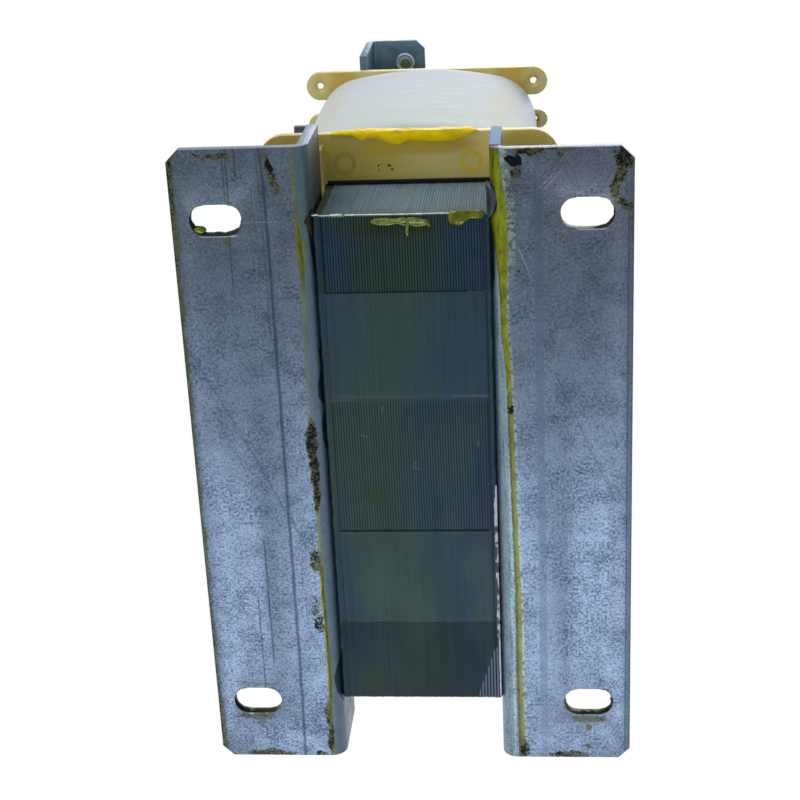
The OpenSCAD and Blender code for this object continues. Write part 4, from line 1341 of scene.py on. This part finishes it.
def paste_patch(bm):
    """Yellow locking paste, wiped over the near edge of the front bobbin's lower flange."""
    low = span("bobbin_front", 2)[0] + FLANGE_UNDERSIDE
    front = span("bobbin_front", 1)[0]
    rows = []
    line = smooth_line([(x, y, 0) for x, y in PASTE_LINE], 5)
    for i, (x, y, _) in enumerate(line):
        t = i / (len(line) - 1)
        taper = min(1, 8 * t + 0.1, 8 * (1 - t) + 0.1)
        ledge = max(0.05, y - front)
        climb = (1.9 + 0.3 * ripple((x, 0, 0), 2.5, 2)) * taper
        # From the underside up the edge and onto the top: how far in, how high, facing, thickness
        profile = ((ledge, 0, (0, -1), 0), (ledge * 0.7, 0, (-0.15, -1), 0.7),
                   (ledge * 0.35, 0, (-0.6, -1), 1), (0, 0, (-1, -0.5), 1),
                   (0, climb * 0.3, (-1, 0), 1), (0, climb * 0.7, (-1, 0), 1.1),
                   (0, climb, (-1, 0.7), 0.8), (0.5, 2.02, (-0.1, 1), 0.4 * taper), (0.9, 2.0, (0, 1), 0))
        row = []
        for inward, rise, lean, swell in profile:
            y = front + inward
            away = Vector((0, *lean)).normalized()
            height = 0.55 * taper * swell * (1 + 0.5 * ripple((x, y, rise), 1.3, 5))
            row.append((Vector((x, y, low + rise)), away, height))
        rows.append(row)
    crust(bm, rows, 0.1)


def mark_varnish(bm, centre):
    """Old varnish that lies in the ring an ejector pin left in the lower flange's underside."""
    inner, width = 1.63, 0.39
    rows = []
    for outward in headings(64):
        rows.append([(Vector(centre) + outward * (inner + width * t), DOWN,
                      0.03 + 0.03 * math.sin(math.pi * t)) for t in spread(0, 1, 4)])
    crust(bm, rows, 0.1, closed=True)


class REACTOR_OT_bobbins(bpy.types.Operator):
    """Makes the moulded bobbins with soft edges, and the yellow paste on the front one"""
    bl_idname = "reactor.bobbins"
    bl_label = "Bobbins"

    def execute(self, context):
        plastic = "bobbin_plastic"
        for place in PLACES:
            middle = sum(span(f"bobbin_{place}", 1)) / 2

            def on_mark(where, middle=middle):
                """True on the edges of an ejector mark, which stay sharp."""
                aside, ahead = abs(where.x) - MARK_ASIDE, abs(where.y - middle) - MARK_AHEAD
                return math.hypot(aside, ahead) < 2.3

            dress_node(f"bobbin_{place}", plastic, plastic, settings().mould.edge, spare=on_mark)
        new_piece("flange_paste", "yellow_paste", plastic, (paste_patch,))
        height = span("bobbin_front", 2)[0] + FLANGE_UNDERSIDE + 0.05
        rings = [(mark_varnish, (x, NEAR_MARKS, height)) for x in (-MARK_ASIDE, MARK_ASIDE)]
        new_piece("flange_mark_varnish", plastic, plastic, *rings)
        return {"FINISHED"}


def coil_outline(place, sides, inset=0):
    """Points and outward directions around a coil, with the bulge of the end coils' free faces."""
    (x0, x1), (y0, y1) = span(f"tape_{place}", 0), span(f"tape_{place}", 1)
    outward = PLACES.index(place) - 1
    middle = outward * LIMB_PITCH
    flat_y, corner = 19.2, 11
    half_x, half_y, radius = (x1 - x0) / 2 - inset, flat_y - inset, corner - inset
    bulge = (y1 - middle if outward > 0 else middle - y0) - flat_y if outward else 0
    inner_x, inner_y = half_x - radius, half_y - radius
    arc = 0
    if bulge > 0.01:
        rise = radius + bulge
        arc = (inner_x ** 2 + rise ** 2 - radius ** 2) / (2 * bulge)
    points = []
    for heading in headings(sides):
        # Walk along the heading until the outline is reached
        reach = 20
        for _ in range(40):
            spot = heading * reach
            core = Vector((max(-inner_x, min(inner_x, spot.x)), max(-inner_y, min(inner_y, spot.y)), 0))
            gap = (spot - core).length - radius
            away = (spot - core).normalized()
            if arc and spot.y * outward > inner_y:
                hub = Vector((0, outward * (half_y + bulge - arc), 0))
                wide = (spot - hub).length - arc
                if abs(spot.x) < inner_x * arc / (arc - radius) and wide < gap:
                    gap, away = wide, (spot - hub).normalized()
            reach -= gap * 0.8
        points.append((heading * reach, away))
    return Vector((0, middle, 0)), points


# How far the coils' flanks are drawn in near their lower rims, in millimetres
LEFT_FLANK, RIGHT_FLANK = 1.6, 0.4


def drawn_in(facing, left):
    """How far a coil is drawn in where it faces a way: most on its flanks, the left by a given length."""
    return (RIGHT_FLANK if facing.x > 0 else left) * abs(facing.x) ** 3


def coil_rows(place, seed):
    """Rings of points of one taped coil, from its inner rim over the outside to its other rim."""
    coil = settings().coil
    z0, z1 = span(f"tape_{place}", 2)
    sides = 192
    centre, ring = coil_outline(place, sides)
    rim_stations = ((0.05, 6.6), (0.02, 2.0))
    rows = []
    for lift, inset in rim_stations:
        rows.append([centre + p - n * inset + Vector((0, 0, z0 + lift)) for p, n in ring])
    for k in range(coil.rows + 1):
        t = k / coil.rows
        z = z0 + 0.1 + t * (z1 - z0 - 0.2)
        rim = min(t, 1 - t) * (z1 - z0)
        tuck = 0.8 * math.exp(-rim / 1.2)
        row = []
        for i, (p, n) in enumerate(ring):
            where = centre + p + Vector((0, 0, z))
            # The tape climbs by half its width a turn, so each turn laps half of the one below
            slant = 0.35 * ripple(where, 30, seed + 5)
            lap = ((z - z0) / (coil.tape * 0.5) + i / sides + slant) % 1.0
            step = 0.01 * min(1, lap * 12) * (1 - 0.6 * lap)
            waved = (where.x, where.y, where.z * 3)
            wave = 0.13 * ripple(where, 12, seed) + 0.05 * ripple(waved, 5, seed + 3)
            creased = (where.x * 0.5, where.y * 0.5, where.z * 1.4)
            crease = 0.01 * abs(ripple(creased, 2.4, seed + 7))
            slim = drawn_in(n, LEFT_FLANK - 0.7 * t)
            row.append(where + n * min(step + wave - crease - tuck - slim - 0.16, 0))
        rows.append(row)
    for lift, inset in reversed(rim_stations):
        rows.append([centre + p - n * inset + Vector((0, 0, z1 - lift)) for p, n in ring])
    return rows


def winding_rows(place):
    """Rings of the wound wire under the tape, a ridge for each turn."""
    z0, z1 = (edge + lift for edge, lift in zip(span(f"winding_{place}", 2), (0.1, -0.1)))
    centre, ring = coil_outline(place, 96, 1.5)
    inner = 0.78
    rows = [[centre + p * inner + Vector((0, 0, z0)) for p, _ in ring]]
    for z in spread(z0, z1, int((z1 - z0) / WIRE_PITCH * 4)):
        ridge = 0.25 * abs(math.sin(math.pi * (z - z0) / WIRE_PITCH))
        rows.append([centre + p + n * (ridge - 0.1 - drawn_in(n, LEFT_FLANK)) + Vector((0, 0, z))
                     for p, n in ring])
    rows.append([centre + p * inner + Vector((0, 0, z1)) for p, _ in ring])
    rows.append(rows[0])
    return rows


def ring_faces(bm, rows):
    """Skin between closed rings of points whose last ring joins the first."""
    rings = grid_faces(bm, rows)
    for i in range(len(rings[0])):
        j = (i + 1) % len(rings[0])
        bm.faces.new((rings[-1][i], rings[-1][j], rings[0][j], rings[0][i]))


def welded_faces(bm, rows):
    """Skin between closed rings of points, whose last ring lies on the first and is joined to it."""
    grid_faces(bm, rows)
    bmesh.ops.remove_doubles(bm, verts=bm.verts, dist=WELD)


def tube(bm, path, radius, sides=18):
    """A round tube along a path, closed at both ends."""
    rows = []
    across = Vector((1, 0, 0))
    for i, point in enumerate(path):
        ahead = (path[min(i + 1, len(path) - 1)] - path[max(i - 1, 0)]).normalized()
        across = (across - ahead * across.dot(ahead)).normalized()
        up = ahead.cross(across)
        rows.append([point + across * (radius * math.cos(TURN * k / sides))
                     + up * (radius * math.sin(TURN * k / sides)) for k in range(sides)])
    grid_faces(bm, rows, ends=True)


# Along Y, where each coil's two leads leave the bobbin and where they meet the strip
LEADS = {"front": ((-40, -27.5), (-27.85, -16.5)), "middle": ((-12.15, -5.5), (12.15, 5.5)),
         "rear": ((27.85, 16.5), (40, 27.5))}
SLEEVE_RADIUS = 1.4


def lead_path(place, start, end):
    """A sleeve's way from its coil, through the flange, to its pole, with easy bends."""
    box_low, box_high = span(f"leads_{place}", 2)
    x = sum(span(f"leads_{place}", 0)) / 2
    turn_low, turn_high = box_low + 4.4, box_high - 7.1
    easing = 2.2
    way = [(x, start, box_low), (x, start, turn_low - easing)]
    for t in (0.12, 0.5, 0.88):
        way.append((x, start + (end - start) * t, turn_low + (turn_high - turn_low) * t))
    way += [(x, end, turn_high + easing), (x, end, box_high)]
    return smooth_line(way, 6)


class REACTOR_OT_coils(bpy.types.Operator):
    """Wraps each winding in overlapping turns of white tape and brings out its sleeved leads"""
    bl_idname = "reactor.coils"
    bl_label = "Coils"

    def execute(self, context):
        for seed, place in enumerate(PLACES):
            tape, winding, leads = f"tape_{place}", f"winding_{place}", f"leads_{place}"
            new_piece(f"{tape}_wrap", "coil_tape", "coil_tape", (ring_faces, coil_rows(place, seed)),
                      replaces=(tape,))
            new_piece(f"{winding}_turns", "winding_copper", "winding_copper",
                      (welded_faces, winding_rows(place)), replaces=(winding,))
            sleeves = [(tube, lead_path(place, *ends), SLEEVE_RADIUS) for ends in LEADS[place]]
            new_piece(f"{leads}_sleeves", "lead_sleeve", "lead_sleeve", *sleeves,
                      replaces=(leads,), smooth=50)
        return {"FINISHED"}


# ---------------------------------------------------------------- fasteners

# Sizes of the M5 clamp bolts, and how many points a ring across them has
ROD_DIAMETER = 5
HEAD_HEIGHT = 3.5
THREAD_PITCH = 0.8
THREAD_LENGTH = 9
AROUND = 48


def hex_reach(angle, flats):
    """Distance from the middle of a hexagon to its side, its flats facing along Y."""
    turn = (angle % (math.pi / 3)) - math.pi / 6
    return flats / 2 / math.cos(turn)


def axis_place(x, centre):
    """A place on the axis that lies along X through a centre."""
    return Vector((x, centre.y, centre.z))


def round_row(x, centre, radius):
    """A round ring across X."""
    return ring_row(axis_place(x, centre), lambda angle: radius, AROUND)


def hex_rows(x0, x1, centre, flats, faces):
    """Rings of a hexagonal head or nut along X, chamfered on the faces asked for."""
    depth = flats * 0.11
    steps = spread(0, 1, 5)
    stations = [(x0 + depth * t, t if "start" in faces else 1) for t in steps]
    stations += [(x1 - depth * t, t if "end" in faces else 1) for t in reversed(steps)]
    rows = []
    for x, t in stations:
        limit = flats * (0.475 + 0.115 * t) if t < 1 else flats

        def reach(angle, limit=limit):
            """Distance to the hexagon's side, or to the chamfer where that is nearer."""
            return min(hex_reach(angle, flats), limit)

        rows.append(ring_row(axis_place(x, centre), reach, AROUND))
    return rows


def threaded_rod(bm, x0, x1, centre):
    """A rod along X whose last part carries a cut thread."""
    radius = ROD_DIAMETER / 2
    start = x1 - THREAD_LENGTH
    rows = [round_row(x, centre, radius - 0.05) for x in (x0, start)]
    steps = int((THREAD_LENGTH - 0.5) / THREAD_PITCH * 6)
    for j in range(steps + 1):
        def reach(angle, j=j):
            """Distance to the thread's flank, once round for each pitch."""
            phase = (j / 6 - angle / TURN) % 1.0
            return radius - 0.02 - 0.48 * THREAD_PITCH * abs(2 * phase - 1)

        rows.append(ring_row(axis_place(start + THREAD_PITCH * j / 6, centre), reach, AROUND))
    rows.append(round_row(x1, centre, radius - 0.5))
    grid_faces(bm, rows, ends=True)


def bolt_shape(bm, x0, x1, centre, flats):
    """A bolt along X: its chamfered head, and its rod, which starts just inside the head."""
    grid_faces(bm, hex_rows(x0, x0 + HEAD_HEIGHT, centre, flats, ("start",)), ends=True)
    threaded_rod(bm, x0 + HEAD_HEIGHT - 0.2, x1, centre)


def nut_shape(bm, x0, x1, centre, flats):
    """A nut along X with a countersunk bore."""
    bore, sink = ROD_DIAMETER / 2 + 0.02, 0.35
    rows = hex_rows(x0, x1, centre, flats, ("start", "end"))
    for x, radius in ((x1, bore + sink), (x1 - sink, bore), (x0 + sink, bore), (x0, bore + sink)):
        rows.append(round_row(x, centre, radius))
    rows.append(rows[0])
    welded_faces(bm, rows)


def clamp_set(level, place):
    """The bolt and the nut of one clamp, made anew with chamfers and a thread."""
    steel = "fastener_steel"
    bolt, nut = f"bolt_{level}_{place}", f"nut_{level}_{place}"
    y0, y1 = span(bolt, 1)
    centre = Vector((0, (y0 + y1) / 2, sum(span(bolt, 2)) / 2))
    for node, shape in ((bolt, bolt_shape), (nut, nut_shape)):
        new_piece(f"{node}_made", steel, steel, (shape, *span(node, 0), centre, y1 - y0),
                  replaces=(node,), smooth=30)


class REACTOR_OT_fasteners(bpy.types.Operator):
    """Makes the clamp bolts and nuts with chamfers and threads, and softens the washers"""
    bl_idname = "reactor.fasteners"
    bl_label = "Fasteners"

    def execute(self, context):
        steel, edge = "fastener_steel", 0.15
        for level in ("bottom", "top"):
            for place in ("front", "rear"):
                clamp_set(level, place)
            dress_node(f"washers_{level}", steel, steel, edge)
        dress_node("spacer_washer", steel, steel, edge)
        return {"FINISHED"}


# ---------------------------------------------------------------- terminals and earth

class REACTOR_OT_terminals(bpy.types.Operator):
    """Finishes the terminal shelf, the strip and the earth tab"""
    bl_idname = "reactor.terminals"
    bl_label = "Terminals and earth"

    def execute(self, context):
        sheet_edge = settings().steel.edge
        parts = (("terminal_shelf", "galvanised_steel", "galvanised_steel", sheet_edge),
                 ("earth_bracket", "tab_steel", "galvanised_steel", sheet_edge),
                 ("earth_collar", "collar_steel", "galvanised_steel", 0.2),
                 ("earth_screw", "screw_brass", "screw_brass", 0.15),
                 ("terminal_strip", "strip_plastic", "strip_plastic", 0.25),
                 ("terminal_clamps", "screw_brass", "screw_brass", 0.2),
                 ("terminal_screws", "fastener_steel", "fastener_steel", 0.15),
                 ("strip_screws", "fastener_steel", "fastener_steel", 0.12))
        for node, look, slot, edge in parts:
            dress_node(node, look, slot, edge)
        return {"FINISHED"}


# ---------------------------------------------------------------- stage

# The lamps: place in metres, size in metres and power in watts
LAMPS = {"lamp_near_end": ((-0.30, -0.55, -0.05), 0.4, 1.4),
         "lamp_below_far": ((-0.04, 0.54, -0.62), 0.5, 2.2),
         "lamp_above": ((0.20, -0.20, 0.90), 0.7, 4),
         "lamp_above_left": ((-0.80, 0.30, 0.60), 0.6, 2)}
LIT_PLACE = (0, 0, 0.05)


def soft_lamp(name, place, size, power):
    """A round lamp that faces the middle of the reactor."""
    lamp = bpy.data.lights.new(name, "AREA")
    lamp.shape = "DISK"
    lamp.size = size
    lamp.energy = power
    holder = bpy.data.objects.new(name, lamp)
    holder.location = place
    holder.rotation_euler = (Vector(LIT_PLACE) - Vector(place)).to_track_quat("-Z", "Y").to_euler()
    bpy.context.scene.collection.objects.link(holder)


def make_world():
    """Soft cool light for the object, plain white for the camera and for clear reflections."""
    world = bpy.data.worlds.new("studio")
    bpy.context.scene.world = world
    world.use_nodes = True
    f = Nodes(world.node_tree)
    seen = [f.node("ShaderNodeLightPath", out=f"Is {kind} Ray")
            for kind in ("Camera", "Glossy", "Transmission")]
    soft = f.node("ShaderNodeBackground", inputs={"Color": (0.80, 0.86, 1.0), "Strength": 0.42})
    white = f.node("ShaderNodeBackground", inputs={"Color": (1, 1, 1), "Strength": 1})
    both = f.node("ShaderNodeMixShader", inputs={0: seen[0].most(*seen[1:]), 1: soft, 2: white})
    f.node("ShaderNodeOutputWorld", inputs={"Surface": both})


def make_floor():
    """A pale floor that is clear from below, so that the feet's undersides can be looked at."""
    size = settings().stage.floor * MM
    bm = bmesh.new()
    bmesh.ops.create_grid(bm, x_segments=8, y_segments=8, size=size / 2)
    mesh = bpy.data.meshes.new("floor")
    bm.to_mesh(mesh)
    bm.free()
    floor = bpy.data.objects.new("floor", mesh)
    floor.location.z = -0.2 * MM
    bpy.context.scene.collection.objects.link(floor)
    f = Finish("floor")
    side = f.node("ShaderNodeNewGeometry", out="Backfacing")
    grain = f.noise(f.place(), 40, 3)
    shade = f.mix(grain, (0.80, 0.80, 0.80), (0.84, 0.84, 0.84))
    top = f.node("ShaderNodeBsdfPrincipled", inputs={"Base Color": shade, "Roughness": 0.8})
    clear = f.node("ShaderNodeBsdfTransparent")
    both = f.node("ShaderNodeMixShader", inputs={0: side, 1: top, 2: clear})
    f.node("ShaderNodeOutputMaterial", inputs={"Surface": both})
    mesh.materials.append(f.material)
    # The floor is only looked at: it neither shades the reactor, lights it nor shows in its metal
    floor.visible_shadow = False
    floor.visible_diffuse = False
    floor.visible_glossy = False


def make_camera():
    """Looks up at the underside from below the near end."""
    camera = bpy.data.cameras.new("camera")
    camera.sensor_width = 36
    camera.lens = 75.84
    camera.clip_start = 0.01
    camera.clip_end = 20
    holder = bpy.data.objects.new("camera", camera)
    bpy.context.scene.collection.objects.link(holder)
    place = Vector((25.726, -133.859, -286.211)) * MM
    right = Vector((0.99608861, 0.04422032, 0.07649866)).normalized()
    forward = Vector((-0.08761433, 0.38205766, 0.91997591)).normalized()
    up = right.cross(forward)
    turn = Matrix((right, up, -forward)).transposed().to_4x4()
    holder.matrix_world = Matrix.Translation(place) @ turn
    bpy.context.scene.camera = holder


class REACTOR_OT_stage(bpy.types.Operator):
    """Sets the camera, the floor, the world and the lamps"""
    bl_idname = "reactor.stage"
    bl_label = "Stage"

    def execute(self, context):
        make_camera()
        make_floor()
        make_world()
        for name, (place, size, power) in LAMPS.items():
            soft_lamp(name, place, size, power * settings().stage.power)
        context.scene.view_settings.view_transform = "Standard"
        return {"FINISHED"}


# ---------------------------------------------------------------- panel and run

OPERATORS = (REACTOR_OT_stage, REACTOR_OT_feet, REACTOR_OT_core, REACTOR_OT_bobbins, REACTOR_OT_coils,
             REACTOR_OT_fasteners, REACTOR_OT_terminals)
GROUPS = (SteelSettings, CoreSettings, MouldSettings, CoilSettings, VarnishSettings, StageSettings,
          ReactorSettings)


class REACTOR_PT_panel(bpy.types.Panel):
    """Lists what the reactor is made of"""
    bl_label = "Reactor"
    bl_idname = "REACTOR_PT_panel"
    bl_space_type = "VIEW_3D"
    bl_region_type = "UI"
    bl_category = "Reactor"

    def draw(self, context):
        for operator in OPERATORS:
            self.layout.operator(operator.bl_idname)


CLASSES = GROUPS + OPERATORS + (REACTOR_PT_panel,)


def register():
    for item in CLASSES:
        bpy.utils.register_class(item)
    bpy.types.Scene.reactor = PointerProperty(type=ReactorSettings)


def unregister():
    del bpy.types.Scene.reactor
    for item in reversed(CLASSES):
        bpy.utils.unregister_class(item)


def main():
    register()
    for operator in OPERATORS:
        group, name = operator.bl_idname.split(".")
        getattr(getattr(bpy.ops, group), name)()
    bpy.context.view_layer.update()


if __name__ == "__main__":
    main()
